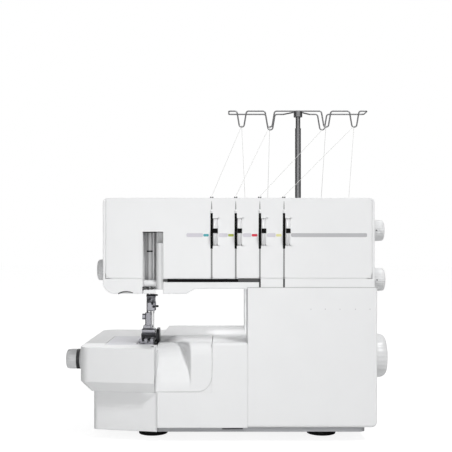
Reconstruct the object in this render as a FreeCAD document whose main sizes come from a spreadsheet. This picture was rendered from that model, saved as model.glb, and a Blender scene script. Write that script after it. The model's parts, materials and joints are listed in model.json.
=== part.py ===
import FreeCAD, Part
import math
import os

import Sketcher
from FreeCAD import Placement, Rotation, Vector

# Driving dimensions in millimetres. X points right, Y to the back and Z up from the floor.
SIZES = {
    # Levels, stacked from the floor up
    "foot_height": 11.0,
    "tray_thickness": 4.4,
    "column_height": 142.6,
    "head_height": 91.0,
    "arm_drop": 6.4,
    "step_rise": 5.0,
    "panel_lift": 9.0,
    "bed_height": 78.6,
    "plate_thickness": 3.0,
    "deck_rise": 5.0,
    # Casing outline
    "front_y": -124.0,
    "body_depth": 168.0,
    "head_left": -127.0,
    "head_width": 276.0,
    "column_step": 3.0,
    "column_width": 132.0,
    "bed_split": -72.0,
    "step_x": -42.0,
    "step_run": 8.5,
    "casing_split": 104.0,
    "wall": 2.5,
    "head_round": 5.0,
    "arm_round": 12.0,
    "column_round": 6.0,
    "edge_round": 3.0,
    "seam": 0.4,
    # Thread panel and its four lay-in slots
    "panel_thickness": 3.0,
    "panel_round": 5.0,
    "slot_first": -16.6,
    "slot_pitch": 24.5,
    "slot_width": 2.4,
    "slot_depth": 9.0,
    "rib_width": 8.0,
    "rib_floor": 3.0,
    "dial_offset": 1.5,
    "dial_thickness": 4.7,
    "dial_radius": 18.0,
    "dial_proud": 6.0,
    "dial_drop": 34.6,
    "dial_gap": 0.5,
    "post_radius": 2.0,
    "disc_radius": 10.0,
    "disc_thickness": 0.8,
    "channel_height": 3.6,
    "channel_left": -66.0,
    "channel_length": 98.0,
    # Needle bar, clamp and needles
    "needle_slot_left": -87.0,
    "needle_slot_width": 21.0,
    "needle_slot_drop": 34.4,
    "bar_x": -83.8,
    "bar_depth": 46.0,
    "bar_radius": 3.1,
    "needle_stroke": 22.0,
    "clamp_width": 10.0,
    "clamp_depth": 10.0,
    "clamp_height": 18.0,
    "clamp_shift": 1.6,
    "clamp_gap": 3.2,
    "clamp_screw_radius": 1.5,
    "clamp_screw_high": 12.6,
    "clamp_screw_low": 5.4,
    "needle_radius": 0.5,
    "needle_pitch": 2.8,
    "needle_length": 20.0,
    "needle_x": -81.0,
    "collar_radius": 6.0,
    "collar_height": 8.0,
    "stud_radius": 2.0,
    "lever_reach": 40.0,
    "lever_thickness": 4.0,
    "lever_height": 10.0,
    "pivot_radius": 2.5,
    # Presser bar, foot and lifter
    "presser_x": -86.2,
    "presser_depth": 64.0,
    "presser_radius": 3.0,
    "presser_lift": 5.5,
    "ankle_width": 8.0,
    "ankle_height": 17.0,
    "foot_length": 42.0,
    "foot_width": 16.5,
    "sole_thickness": 1.8,
    "shank_height": 11.0,
    "lifter_pivot": 92.0,
    "lifter_width": 8.0,
    "lifter_height": 6.0,
    "lifter_tail": 18.0,
    # Needle plate, knives, loopers and feed
    "plate_left": -128.5,
    "plate_width": 49.5,
    "plate_start": 22.0,
    "plate_length": 75.0,
    "knife_gap": 2.1,
    "knife_thickness": 3.0,
    "knife_height": 14.0,
    "knife_pivot": 109.0,
    "looper_thickness": 3.0,
    "looper_shaft_radius": 4.0,
    "looper_z": 45.0,
    "looper_reach": 28.0,
    "lower_looper_x": -100.0,
    "upper_looper_x": -60.0,
    "feed_travel": 2.0,
    # Cloth plate and looper cover
    "cover_left": -151.5,
    "cover_right": -74.0,
    "cover_proud": 11.0,
    "cover_slant": 12.6,
    "cover_drop": 34.0,
    "cover_chamfer": 12.0,
    "cover_round": 12.0,
    "cover_lift": 0.5,
    "door_width": 55.4,
    "door_height": 50.0,
    "door_depth": 61.0,
    "door_round": 16.0,
    "door_crown": 9.0,
    "knuckle_radius": 5.0,
    "hinge_pin_radius": 1.5,
    "chute_width": 34.0,
    "chute_drop": 6.0,
    "chute_run": 34.0,
    "chute_floor": 4.0,
    "door_gap": 0.8,
    # Frames and drive
    "slab_thickness": 6.0,
    "shaft_depth": 80.0,
    "shaft_z": 78.0,
    "shaft_radius": 6.0,
    "bush_wall": 3.0,
    "upright_thickness": 10.0,
    "wheel_radius": 24.5,
    "wheel_width": 22.0,
    "wheel_gap": 1.0,
    "wheel_edge": 1.5,
    "wheel_crown": 4.0,
    "pulley_radius": 28.0,
    "pulley_width": 8.0,
    "pulley_inset": 26.0,
    "motor_radius": 28.0,
    "motor_gap": 2.0,
    "motor_inset": 20.0,
    "motor_y": 5.0,
    "motor_z": 50.0,
    "motor_pulley_radius": 7.0,
    "spindle_radius": 4.0,
    "belt_thickness": 2.0,
    "frame_depth": 96.0,
    "frame_thickness": 8.0,
    "run_fit": 0.05,
    "free_gap": 0.3,
    # Side dials
    "side_dial_depth": 60.0,
    "side_dial_stem": 5.0,
    "side_dial_bevel": 1.5,
    "length_dial_radius": 11.5,
    "length_dial_z": 217.0,
    "length_dial_reach": 20.0,
    "feed_dial_radius": 12.5,
    "feed_dial_z": 163.5,
    "feed_dial_reach": 20.0,
    "pressure_dial_radius": 11.5,
    "pressure_dial_z": 174.0,
    "pressure_dial_reach": 14.0,
    "width_dial_radius": 10.75,
    "width_dial_z": 77.0,
    "width_dial_reach": 35.7,
    # Thread stand
    "stand_z": 147.0,
    "stand_thickness": 5.0,
    "stand_left": -2.0,
    "stand_width": 177.0,
    "stand_depth": 91.0,
    "stand_round": 22.0,
    "mast_x": 87.5,
    "mast_back": 10.0,
    "mast_radius": 3.7,
    "mast_height": 199.0,
    "rod_radius": 2.95,
    "rod_rise": 21.0,
    "rod_inside": 180.0,
    "boss_radius": 8.0,
    "boss_height": 14.0,
    "tree_reach": 86.0,
    "tree_wire_radius": 0.9,
    "tree_gap": 24.0,
    "tree_dip": 19.6,
    "tree_dip_width": 12.0,
    "tree_dip_floor": 5.4,
    "tree_bend": 3.0,
    "outer_dip": 70.0,
    "inner_dip": 35.0,
    "rear_dip": 33.0,
    "cone_radius": 21.5,
    "cone_tip_radius": 14.0,
    "cone_height": 98.0,
    "cone_outer": 65.0,
    "cone_inner": 35.0,
    "cone_front": 26.0,
    "cone_step": 40.0,
    "pin_radius": 3.0,
    "thread_radius": 0.2,
    "thread_apart": 1.62,
    "thread_turn": 1.44,
    "guide_width": 3.36,
    "guide_height": 1.44,
    # Lamp, power inlet and switch
    "lamp_left": -112.0,
    "lamp_width": 15.5,
    "lamp_length": 16.0,
    "inlet_width": 26.0,
    "inlet_height": 20.0,
    "inlet_depth": 14.0,
    "inlet_y": 8.0,
    "inlet_z": 40.0,
    "switch_width": 14.0,
    "switch_height": 20.0,
    "switch_z": 70.0,
    "rocker_low": 1.5,
    "rocker_dip": 0.5,
    "rocker_high": 4.0,
    # Rubber feet and screws
    "foot_radius": 16.5,
    "foot_left": -80.0,
    "foot_right": 100.0,
    "foot_front": 45.5,
    "foot_rear": 146.0,
    "screw_radius": 4.5,
    "screw_head": 3.5,
    "screw_left": -8.0,
    "screw_right": 62.0,
}

doc = FreeCAD.newDocument("overlock_machine")
sheet = doc.addObject("Spreadsheet::Sheet", "sizes")


class Size:
    """A length that carries its sheet expression and its number side by side."""

    def __init__(self, text, number):
        self.text = text
        self.number = number

    def join(self, sign, other, number, swap=False):
        first, second = (other, self) if swap else (self, other)
        return Size(f"({first.text} {sign} {second.text})", number)

    def __add__(self, other):
        other = size_of(other)
        return self.join("+", other, self.number + other.number)

    def __radd__(self, other):
        return size_of(other) + self

    def __sub__(self, other):
        other = size_of(other)
        return self.join("-", other, self.number - other.number)

    def __rsub__(self, other):
        return size_of(other) - self

    def __mul__(self, factor):
        factor = size_of(factor)
        return self.join("*", factor, self.number * factor.number)

    def __truediv__(self, divisor):
        divisor = size_of(divisor)
        return self.join("/", divisor, self.number / divisor.number)

    def __neg__(self):
        return size_of(0) - self


def size_of(value):
    """Take a Size as it is and wrap a plain number."""
    if isinstance(value, Size):
        return value
    return Size(repr(float(value)), float(value))


class Sheet:
    """Each driving dimension as an attribute."""


s = Sheet()
for row, (alias, number) in enumerate(SIZES.items(), start=1):
    sheet.set(f"A{row}", alias)
    sheet.set(f"B{row}", str(number))
    sheet.setAlias(f"B{row}", alias)
    setattr(s, alias, Size(f"sizes.{alias}", number))
doc.recompute()

pieces = {}


def bind(item, **properties):
    """Tie properties to the sheet."""
    for name, value in properties.items():
        item.setExpression(name, size_of(value).text)


def place(item, x=0, y=0, z=0):
    """Tie an object's position to the sheet."""
    for axis, value in zip("xyz", (x, y, z)):
        item.setExpression(f"Placement.Base.{axis}", size_of(value).text)


def rect(left, right, low, high):
    """Corner points of an upright rectangle in a sketch."""
    return [(left, low), (right, low), (right, high), (left, high)]


class Piece:
    """One body, built from sketches on its own origin planes."""

    TURN_AXES = {"X": ("XZ_Plane", "H_Axis"), "Z": ("XZ_Plane", "V_Axis"), "Y": ("XY_Plane", "V_Axis")}

    def __init__(self, label):
        self.body = doc.addObject("PartDesign::Body", label)
        self.label = label
        pieces[label] = self.body

    def new(self, kind):
        return self.body.newObject(kind, f"{self.label}_{kind.split('::')[1]}")

    def sketch(self, plane, level, outlines):
        """Draw closed outlines on an origin plane lifted to a level along its normal."""
        support = next(f for f in self.body.Origin.OriginFeatures if f.Role == plane)
        sketch = self.new("Sketcher::SketchObject")
        sketch.AttachmentSupport = [(support, "")]
        sketch.MapMode = "FlatFace"
        bind(sketch, **{"AttachmentOffset.Base.z": level})
        for outline in outlines:
            if isinstance(outline, tuple):
                self.draw_circle(sketch, *outline)
            else:
                self.draw_polygon(sketch, outline)
        return sketch

    def draw_polygon(self, sketch, points):
        corners = [(size_of(across), size_of(up)) for across, up in points]
        ends = [Vector(across.number, up.number, 0) for across, up in corners]
        first = sketch.GeometryCount
        count = len(ends)
        for index in range(count):
            sketch.addGeometry(Part.LineSegment(ends[index], ends[(index + 1) % count]))
        for index in range(count):
            following = first + (index + 1) % count
            sketch.addConstraint(Sketcher.Constraint("Coincident", first + index, 2, following, 1))
        for index, (across, up) in enumerate(corners):
            self.fix_point(sketch, first + index, 1, across, up)

    def draw_circle(self, sketch, across, up, radius):
        across, up, radius = size_of(across), size_of(up), size_of(radius)
        centre = Vector(across.number, up.number, 0)
        ring = sketch.addGeometry(Part.Circle(centre, Vector(0, 0, 1), radius.number))
        self.fix_point(sketch, ring, 3, across, up)
        held = sketch.addConstraint(Sketcher.Constraint("Radius", ring, radius.number))
        bind(sketch, **{f"Constraints[{held}]": radius})

    def fix_point(self, sketch, geometry, end, across, up):
        for kind, value in (("DistanceX", across), ("DistanceY", up)):
            held = sketch.addConstraint(Sketcher.Constraint(kind, -1, 1, geometry, end, value.number))
            bind(sketch, **{f"Constraints[{held}]": value})

    def pad(self, plane, low, high, *outlines):
        """Fill outlines from one level of the plane's axis to another."""
        level = -size_of(high) if plane == "XZ" else low
        pad = self.new("PartDesign::Pad")
        pad.Profile = self.sketch(f"{plane}_Plane", level, outlines)
        bind(pad, Length=size_of(high) - low)
        return self

    def pocket(self, plane, low, high, *outlines):
        """Cut outlines away from one level of the plane's axis to another."""
        level = -size_of(low) if plane == "XZ" else high
        sketch = self.sketch(f"{plane}_Plane", level, outlines)
        doc.recompute()
        before = self.body.Tip.Shape.Volume
        pocket = self.new("PartDesign::Pocket")
        pocket.Profile = sketch
        bind(pocket, Length=size_of(high) - low)
        doc.recompute()
        if pocket.Shape.Volume >= before:
            raise RuntimeError(f"{pocket.Name} cuts nothing")
        return self

    def turn(self, axis, outline):
        """Turn an outline of (along, radius) points about the body's own axis."""
        plane, line = self.TURN_AXES[axis]
        points = outline if axis == "X" else [(radius, along) for along, radius in outline]
        sketch = self.sketch(plane, 0, [points])
        turned = self.new("PartDesign::Revolution")
        turned.Profile = sketch
        turned.ReferenceAxis = (sketch, [line])
        turned.Angle = 360
        return self

    def fillet(self, radius, axis, *corners):
        """Round the straight edges along an axis that stand at the given corners."""
        doc.recompute()
        base = self.body.Tip
        names = []
        for number, edge in enumerate(base.Shape.Edges, start=1):
            if any(edge_stands_at(edge, axis, corner) for corner in corners):
                names.append(f"Edge{number}")
        if not names:
            raise RuntimeError(f"{self.label} has no edge to round along {axis}")
        fillet = self.new("PartDesign::Fillet")
        fillet.Base = (base, names)
        bind(fillet, Radius=radius)
        return self

    def at(self, x=0, y=0, z=0):
        place(self.body, x, y, z)
        return self


def edge_stands_at(edge, axis, corner):
    """Say whether a straight edge runs along an axis through a corner given across that axis."""
    if edge.Curve.TypeId != "Part::GeomLine":
        return False
    along = "XYZ".index(axis)
    across = [index for index in range(3) if index != along]
    ends = [vertex.Point for vertex in edge.Vertexes]
    for index, value in zip(across, corner):
        if any(abs(end[index] - size_of(value).number) > 0.01 for end in ends):
            return False
    return True


def rod(name, axis, radius, length, x, y, z):
    """A round bar that starts at a point and runs along an axis."""
    bar = doc.addObject("Part::Cylinder", name)
    turns = {"X": Rotation(Vector(0, 1, 0), 90), "Y": Rotation(Vector(1, 0, 0), -90), "Z": Rotation()}
    bar.Placement = Placement(Vector(), turns[axis])
    bind(bar, Radius=radius, Height=length)
    place(bar, x, y, z)
    return bar


def group(label, members):
    """Separate like solids that share one name."""
    together = doc.addObject("Part::Compound", label)
    together.Links = members
    pieces[label] = together
    return together


def solid(label, shape):
    """A shape worked out from the sheet's numbers."""
    feature = doc.addObject("Part::Feature", label)
    feature.Shape = shape
    feature.Placement = Placement()
    pieces[label] = feature
    return feature


def rounded_path(points, radii):
    """Straight runs joined by tangent arcs, one radius for each inner point."""
    edges = []
    start = points[0]
    for before, corner, after, radius in zip(points, points[1:], points[2:], radii):
        towards = (before - corner).normalize()
        onward = (after - corner).normalize()
        half = towards.getAngle(onward) / 2
        setback = radius / math.tan(half)
        middle = (towards + onward).normalize() * (radius / math.sin(half) - radius)
        entry = corner + towards * setback
        leave = corner + onward * setback
        edges.append(Part.LineSegment(start, entry).toShape())
        edges.append(Part.Arc(entry, corner + middle, leave).toShape())
        start = leave
    edges.append(Part.LineSegment(start, points[-1]).toShape())
    return Part.Wire(edges)


def tube(path, radius):
    """A round wire swept along a path."""
    first = path.Edges[0]
    start = first.valueAt(first.FirstParameter)
    heading = first.tangentAt(first.FirstParameter)
    section = Part.Wire(Part.Circle(start, heading, radius).toShape())
    shape = path.makePipeShell([section], True, True)
    expected = math.pi * radius ** 2 * path.Length
    if abs(shape.Volume / expected - 1) > 0.02:
        raise RuntimeError("a swept wire has the wrong volume")
    return shape


# Levels and planes that several pieces share
tray_z = s.foot_height
column_z = tray_z + s.tray_thickness
seam_z = column_z + s.column_height
head_top = seam_z + s.head_height
arm_z = seam_z - s.arm_drop
step_z = arm_z + s.step_rise
panel_z = seam_z + s.panel_lift
bed_top = column_z + s.bed_height
plate_top = bed_top + s.plate_thickness
deck_z = plate_top + s.deck_rise
rear_y = s.front_y + s.body_depth
split_y = s.front_y + s.casing_split
head_right = s.head_left + s.head_width
column_right = head_right + s.column_step
column_left = column_right - s.column_width
pulley_x = column_right - s.pulley_inset
motor_x = column_left + s.motor_inset
dial_y = s.front_y + s.side_dial_depth
cover_inset = s.cover_chamfer + s.dial_gap
cover_front = s.front_y - s.cover_proud
bed_left = s.cover_left + cover_inset

# Places of the moving parts that the casing makes room for
bar_y = s.front_y + s.bar_depth
presser_y = s.front_y + s.presser_depth
lifter_y = s.front_y + s.lifter_pivot
lifter_z = panel_z + s.lifter_height * 2
shaft_y = s.front_y + s.shaft_depth
knife_y = s.front_y + s.knife_pivot
door_left = s.bed_split + s.seam
door_right = s.bed_split + s.door_width
door_z = deck_z - s.door_height
slot_right = s.needle_slot_left + s.needle_slot_width
slot_top = head_top - s.needle_slot_drop
tension_y = s.front_y + s.dial_radius - s.dial_proud
tension_z = head_top - s.dial_drop
slots = [s.slot_first + s.slot_pitch * index for index in range(4)]
stem_hole = s.side_dial_stem + s.free_gap
lifter_left = s.presser_x - s.lifter_width / 2
lifter_right = s.presser_x + s.lifter_width / 2
lifter_dip = s.presser_lift * 4


def make_arm_casing():
    """The hollow head, open at the front for the thread panel and below into the column."""
    outline = [
        (s.head_left, arm_z),
        (s.step_x, arm_z),
        (s.step_x + s.step_run, step_z),
        (column_left, step_z),
        (column_left, seam_z),
        (head_right, seam_z),
        (head_right, head_top),
        (s.head_left, head_top),
    ]
    inner_left = s.head_left + s.wall
    inner_right = head_right - s.wall
    inner_rear = rear_y - s.wall
    floor = [
        (inner_left, arm_z + s.arm_round),
        (s.head_left + s.arm_round, arm_z + s.wall),
        (s.step_x, arm_z + s.wall),
        (s.step_x + s.step_run, step_z + s.wall),
        (inner_right, step_z + s.wall),
        (inner_right, panel_z),
        (inner_left, panel_z),
    ]
    casing = Piece("arm_casing").pad("XZ", s.front_y, rear_y, outline)
    casing.fillet(s.head_round, "Y", (s.head_left, head_top), (head_right, head_top))
    casing.fillet(s.arm_round, "Y", (s.head_left, arm_z))
    opening = rect(inner_left, inner_right, panel_z, head_top - s.wall)
    casing.pocket("XZ", s.front_y, inner_rear, opening)
    casing.pocket("XZ", s.front_y + s.wall, inner_rear, floor)
    column = rect(column_left + s.wall, inner_right, s.front_y + s.wall, inner_rear)
    casing.pocket("XY", seam_z, step_z + s.wall, column)
    notch = rect(s.needle_slot_left, slot_right, s.front_y, bar_y)
    casing.pocket("XY", arm_z, panel_z, notch)
    bars = rect(lifter_left - s.wall, slot_right, bar_y - s.clamp_depth, presser_y + s.clamp_depth)
    casing.pocket("XY", arm_z, arm_z + s.wall, bars)
    lamp = rect(s.lamp_left, s.lamp_left + s.lamp_width, bar_y - s.lamp_length, bar_y)
    casing.pocket("XY", arm_z, arm_z + s.wall, lamp)
    channel_right = s.channel_left + s.channel_length
    channel = rect(s.channel_left, channel_right, panel_z - s.channel_height, panel_z)
    casing.pocket("XZ", s.front_y, s.front_y + s.wall, channel)
    lifter = rect(
        lifter_left - s.wall,
        lifter_right + s.wall,
        lifter_z - lifter_dip,
        lifter_z + s.lifter_height,
    )
    casing.pocket("XZ", inner_rear, rear_y, lifter)
    casing.pocket("YZ", s.head_left, inner_left, (dial_y, s.pressure_dial_z, stem_hole))
    right_stems = [(dial_y, s.length_dial_z, stem_hole), (dial_y, s.feed_dial_z, stem_hole)]
    casing.pocket("YZ", inner_right, head_right, *right_stems)


def make_front_panel():
    """The flat thread panel with its lay-in slots and the windows of the tension dials."""
    left = s.head_left + s.wall + s.seam
    right = head_right - s.wall - s.seam
    low = panel_z + s.seam
    high = head_top - s.wall - s.seam
    back = s.front_y + s.panel_thickness
    rib_back = s.front_y + s.slot_depth + s.rib_floor
    window = s.dial_radius + s.dial_gap
    panel = Piece("front_panel").pad("XZ", s.front_y, back, rect(left, right, low, high))
    panel.fillet(s.panel_round, "Y", (left, low), (right, low))
    ribs = [rect(x - s.rib_width / 2, x + s.rib_width / 2, low, high) for x in slots]
    panel.pad("XZ", back, rib_back, *ribs)
    notch = rect(s.needle_slot_left, slot_right, low, slot_top)
    panel.pocket("XZ", s.front_y, back, notch)
    slits = [rect(x - s.slot_width / 2, x + s.slot_width / 2, low, high) for x in slots]
    panel.pocket("XZ", s.front_y, s.front_y + s.slot_depth, *slits)
    dials = []
    for x in slots:
        start = x + s.dial_offset - s.dial_gap
        end = x + s.dial_offset + s.dial_thickness + s.dial_gap
        dials.append(rect(start, end, tension_z - window, tension_z + window))
    panel.pocket("XZ", s.front_y, rib_back, *dials)
    discs = []
    reach = s.disc_radius + s.dial_gap
    for x in slots:
        discs.append(rect(x - s.slot_width / 2, x + s.dial_offset, tension_z - reach, tension_z + reach))
    panel.pocket("XZ", s.front_y, rib_back, *discs)
    hole = (tension_y, tension_z, s.post_radius)
    for x in slots:
        panel.pocket("YZ", x - s.rib_width / 2, x - s.slot_width / 2, hole)


def make_column_casings():
    """The column's front and rear shells, which meet on an upright seam."""
    inner_left = column_left + s.wall
    inner_right = column_right - s.wall
    outline = rect(column_left, column_right, column_z, seam_z)
    inside = [
        (inner_left, column_z),
        (column_right - s.column_round, column_z),
        (inner_right, column_z + s.column_round),
        (inner_right, seam_z),
        (inner_left, seam_z),
    ]
    front = Piece("front_casing").pad("XZ", s.front_y, split_y, outline)
    front.fillet(s.column_round, "Y", (column_right, column_z))
    front.fillet(s.edge_round, "Z", (column_right, s.front_y))
    front.pocket("XZ", s.front_y + s.wall, split_y, inside)
    bed_way = rect(s.front_y + s.wall, split_y, column_z, deck_z - s.wall)
    front.pocket("YZ", column_left, inner_left, bed_way)
    front.pocket("YZ", inner_right, column_right, (shaft_y, s.shaft_z, s.shaft_radius + s.wall))
    rear = Piece("rear_casing").pad("XZ", split_y, rear_y, outline)
    rear.fillet(s.column_round, "Y", (column_right, column_z))
    rear.fillet(s.edge_round, "Z", (column_right, rear_y))
    rear.pocket("XZ", split_y, rear_y - s.wall, inside)
    rear_way = rect(split_y, rear_y - s.wall, column_z, deck_z - s.wall)
    rear.pocket("YZ", column_left, inner_left, rear_way)
    inlet = rect(
        s.inlet_y - s.inlet_width / 2,
        s.inlet_y + s.inlet_width / 2,
        s.inlet_z - s.inlet_height / 2,
        s.inlet_z + s.inlet_height / 2,
    )
    switch = rect(
        s.inlet_y - s.switch_width / 2 - s.seam,
        s.inlet_y + s.switch_width / 2 + s.seam,
        s.switch_z - s.switch_height / 2 - s.seam,
        s.switch_z + s.switch_height / 2 + s.seam,
    )
    rear.pocket("YZ", inner_right, column_right, inlet, switch)


def make_bed_casing():
    """The low bed: a slanted block under the cloth plate and a higher deck beside the column."""
    block_rear = rear_y - cover_inset
    block_front = cover_front + cover_inset
    block_corner = block_front + s.cover_slant
    inner_left = bed_left + s.wall
    inner_split = s.bed_split + s.wall
    block = [
        (s.bed_split, block_front),
        (s.bed_split, block_rear),
        (bed_left, block_rear),
        (bed_left, block_corner),
    ]
    hollow = [
        (inner_split, block_front + s.wall),
        (inner_split, block_rear - s.wall),
        (inner_left, block_rear - s.wall),
        (inner_left, block_corner + s.wall),
        (s.bed_split, block_front + s.wall),
    ]
    deck = rect(s.bed_split, column_left, s.front_y, rear_y)
    inner_deck = rect(inner_split, column_left, s.front_y + s.wall, rear_y - s.wall)
    bed = Piece("bed_casing").pad("XY", tray_z, bed_top, block)
    bed.fillet(s.column_round, "Z", (bed_left, block_corner), (bed_left, block_rear))
    bed.pad("XY", column_z, deck_z, deck)
    bed.fillet(s.edge_round, "X", (s.front_y, deck_z))
    bed.pocket("XY", column_z, deck_z - s.wall, inner_deck)
    bed.pocket("XY", tray_z + s.wall, bed_top - s.wall, hollow)
    plate_rear = s.front_y + s.plate_start + s.plate_length
    well = rect(
        s.plate_left + s.wall * 2,
        s.bed_split,
        s.front_y + s.plate_start + s.wall * 2,
        plate_rear + s.frame_thickness * 2,
    )
    bed.pocket("XY", bed_top - s.wall, bed_top, well)
    mouth = rect(s.bed_split, door_right + s.door_gap, door_z - s.door_gap, deck_z)
    bed.pocket("XZ", s.front_y, s.front_y + s.door_depth + s.door_gap, mouth)
    bed.pocket("YZ", bed_left, inner_left, (dial_y, s.width_dial_z, stem_hole))
    lug_low = door_z - s.wall
    lug_high = door_z + s.knuckle_radius * 2 + s.wall
    lug_front = s.front_y + s.wall + s.door_gap
    lug = rect(lug_front, lug_front + s.knuckle_radius * 2, lug_low, lug_high)
    hollow_front = s.front_y + s.knuckle_radius + s.free_gap
    hollow_lug = rect(hollow_front, lug_front + s.knuckle_radius * 2, lug_low, lug_high)
    right_lug = door_right - s.door_round + s.door_gap
    corner_end = door_right - s.wall
    lug_end = door_right + s.door_gap + s.wall * 2
    bed.pad("YZ", right_lug, corner_end, hollow_lug)
    bed.pad("YZ", corner_end, lug_end, lug)
    bed.pad("YZ", s.bed_split - s.wall * 2, s.bed_split, lug)
    pin_hole = (s.front_y + s.knuckle_radius, door_z + s.knuckle_radius, s.hinge_pin_radius)
    bed.pocket("YZ", right_lug, lug_end, pin_hole)
    bed.pocket("YZ", s.bed_split - s.wall * 2, s.bed_split, pin_hole)


def make_stand():
    """The base tray, the rubber feet under it and the screws that hold it."""
    left = s.bed_split + s.seam
    right = column_right - s.column_round * 2
    front = s.front_y + s.wall
    rear = rear_y - s.wall
    tray = Piece("base_tray").pad("XY", tray_z, column_z, rect(left, right, front, rear))
    tray.fillet(s.column_round, "Z", (right, front), (right, rear))
    feet = []
    for x in (s.foot_left, s.foot_right):
        for depth in (s.foot_front, s.foot_rear):
            foot = doc.addObject("Part::Cone", "foot")
            bind(foot, Radius1=s.foot_radius - s.wall / 2, Radius2=s.foot_radius, Height=s.foot_height)
            place(foot, x, s.front_y + depth, 0)
            feet.append(foot)
    group("rubber_feet", feet)
    screws = []
    for x in (s.screw_left, s.screw_right):
        for depth in (s.foot_front / 2, s.foot_rear):
            spot = (x, s.front_y + depth, tray_z - s.screw_head)
            screws.append(rod("base_screw", "Z", s.screw_radius, s.screw_head, *spot))
    group("base_screws", screws)


make_arm_casing()
make_front_panel()
make_column_casings()
make_bed_casing()
make_stand()

# The needle bar's levels, from the lower guide up
guide_low = (panel_z - s.step_rise, panel_z + s.rib_floor)
collar_low = guide_low[1] + s.needle_stroke + s.wheel_gap
stud_z = collar_low + s.collar_height / 2
guide_high = (collar_low + s.collar_height + s.lever_thickness, stud_z + s.collar_height + s.lever_height)
clamp_top = arm_z - s.clamp_gap
clamp_low = clamp_top - s.clamp_height
clamp_left = s.bar_x + s.clamp_shift - s.clamp_width / 2
lever_left = s.bar_x + s.collar_radius + s.dial_gap
lever_right = lever_left + s.lever_thickness
lever_y = bar_y + s.lever_reach
lever_z = stud_z - s.needle_stroke / 2
needle_xs = (s.needle_x - s.needle_pitch / 2, s.needle_x + s.needle_pitch / 2)
# The presser's levels, from the plate up
sole_z = plate_top + s.free_gap
shank_z = sole_z + s.sole_thickness
ankle_z = shank_z + s.shank_height
bar_foot_z = ankle_z + s.ankle_height
lift_z = lifter_z + s.lifter_height / 2 + s.dial_gap
spring_z = lift_z + s.lifter_height
lifter_tip = presser_y + s.presser_radius + s.dial_gap
frame_y = s.front_y + s.frame_depth
frame_back = frame_y + s.frame_thickness
frame_z = column_z + s.slab_thickness
# The knives and loopers beside the plate
plate_right = s.plate_left + s.plate_width
plate_front = s.front_y + s.plate_start
plate_rear = plate_front + s.plate_length
knife_left = plate_right + s.knife_gap
knife_right = knife_left + s.knife_thickness
knife_z = bed_top - s.wall * 2 - s.knife_height / 2
feed_z = bed_top - s.lever_height
looper_y = bar_y - s.looper_thickness * 2
upper_looper_y = bar_y + s.looper_thickness
carrier_y = presser_y - s.lifter_height
carrier_back = carrier_y + s.frame_thickness
post_x = (column_left + s.lifter_height, pulley_x - s.pulley_radius / 2)
motor_length = post_x[1] - s.motor_gap - motor_x
upright_x = (s.bed_split + s.looper_shaft_radius * 4, post_x[0] - s.wall, post_x[1])


def make_cloth_plate():
    """The slide-off cover: a thin top with a slanted front, open at the right and below."""
    front = cover_front
    low = plate_top - s.cover_drop - s.cover_chamfer
    plan = [
        (s.cover_right, front),
        (s.cover_right, rear_y),
        (s.cover_left, rear_y),
        (s.cover_left, front + s.cover_slant),
    ]
    cover = Piece("cover_block").pad("XY", low, plate_top, plan)
    cover.fillet(s.cover_round, "Z", (s.cover_left, front + s.cover_slant), (s.cover_left, rear_y))
    doc.recompute()
    base = cover.body.Tip
    rims = []
    for number, edge in enumerate(base.Shape.Edges, start=1):
        middle = edge.valueAt((edge.FirstParameter + edge.LastParameter) / 2)
        on_floor = abs(edge.BoundBox.ZMax - low.number) < 0.01
        if on_floor and middle.x < s.cover_right.number - 0.01:
            rims.append(f"Edge{number}")
    chamfer = cover.new("PartDesign::Chamfer")
    chamfer.Base = (base, rims)
    bind(chamfer, Size=s.cover_chamfer - s.wheel_gap)
    cutout = rect(s.plate_left - s.seam, s.cover_right, plate_front - s.seam, plate_rear + s.seam)
    cover.pocket("XY", bed_top, plate_top, cutout)
    hole = (dial_y, s.width_dial_z, s.width_dial_radius + s.wall / 2)
    cover.pocket("YZ", s.cover_left, s.cover_left + s.wall, hole)
    skin = s.plate_thickness - s.cover_lift
    skirt_z = low + s.cover_chamfer
    hollow = Piece("cover_hollow")
    upper = cover_inside(front, skin, s.cover_round)
    rim = s.cover_chamfer - s.dial_gap
    lower = cover_inside(front, rim, rim + s.stud_radius)
    loft = hollow.new("PartDesign::AdditiveLoft")
    loft.Profile = hollow.sketch("XY_Plane", low, [lower])
    loft.Sections = [hollow.sketch("XY_Plane", skirt_z, [upper])]
    hollow.pad("XY", skirt_z, plate_top - skin, upper)
    shell = doc.addObject("Part::Cut", "cloth_plate")
    shell.Base = pieces.pop("cover_block")
    shell.Tool = pieces.pop("cover_hollow")
    pieces["cloth_plate"] = shell


def cover_inside(front, inset, corner):
    """The cloth plate's inner plan, set in from its walls, with its left corners cut off."""
    slanted = front + s.cover_slant
    return [
        (s.cover_right, front + inset),
        (s.cover_right, rear_y - inset),
        (s.cover_left + corner, rear_y - inset),
        (s.cover_left + inset, rear_y - corner),
        (s.cover_left + inset, slanted + corner),
        (s.cover_left + corner, slanted + inset),
    ]


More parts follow.
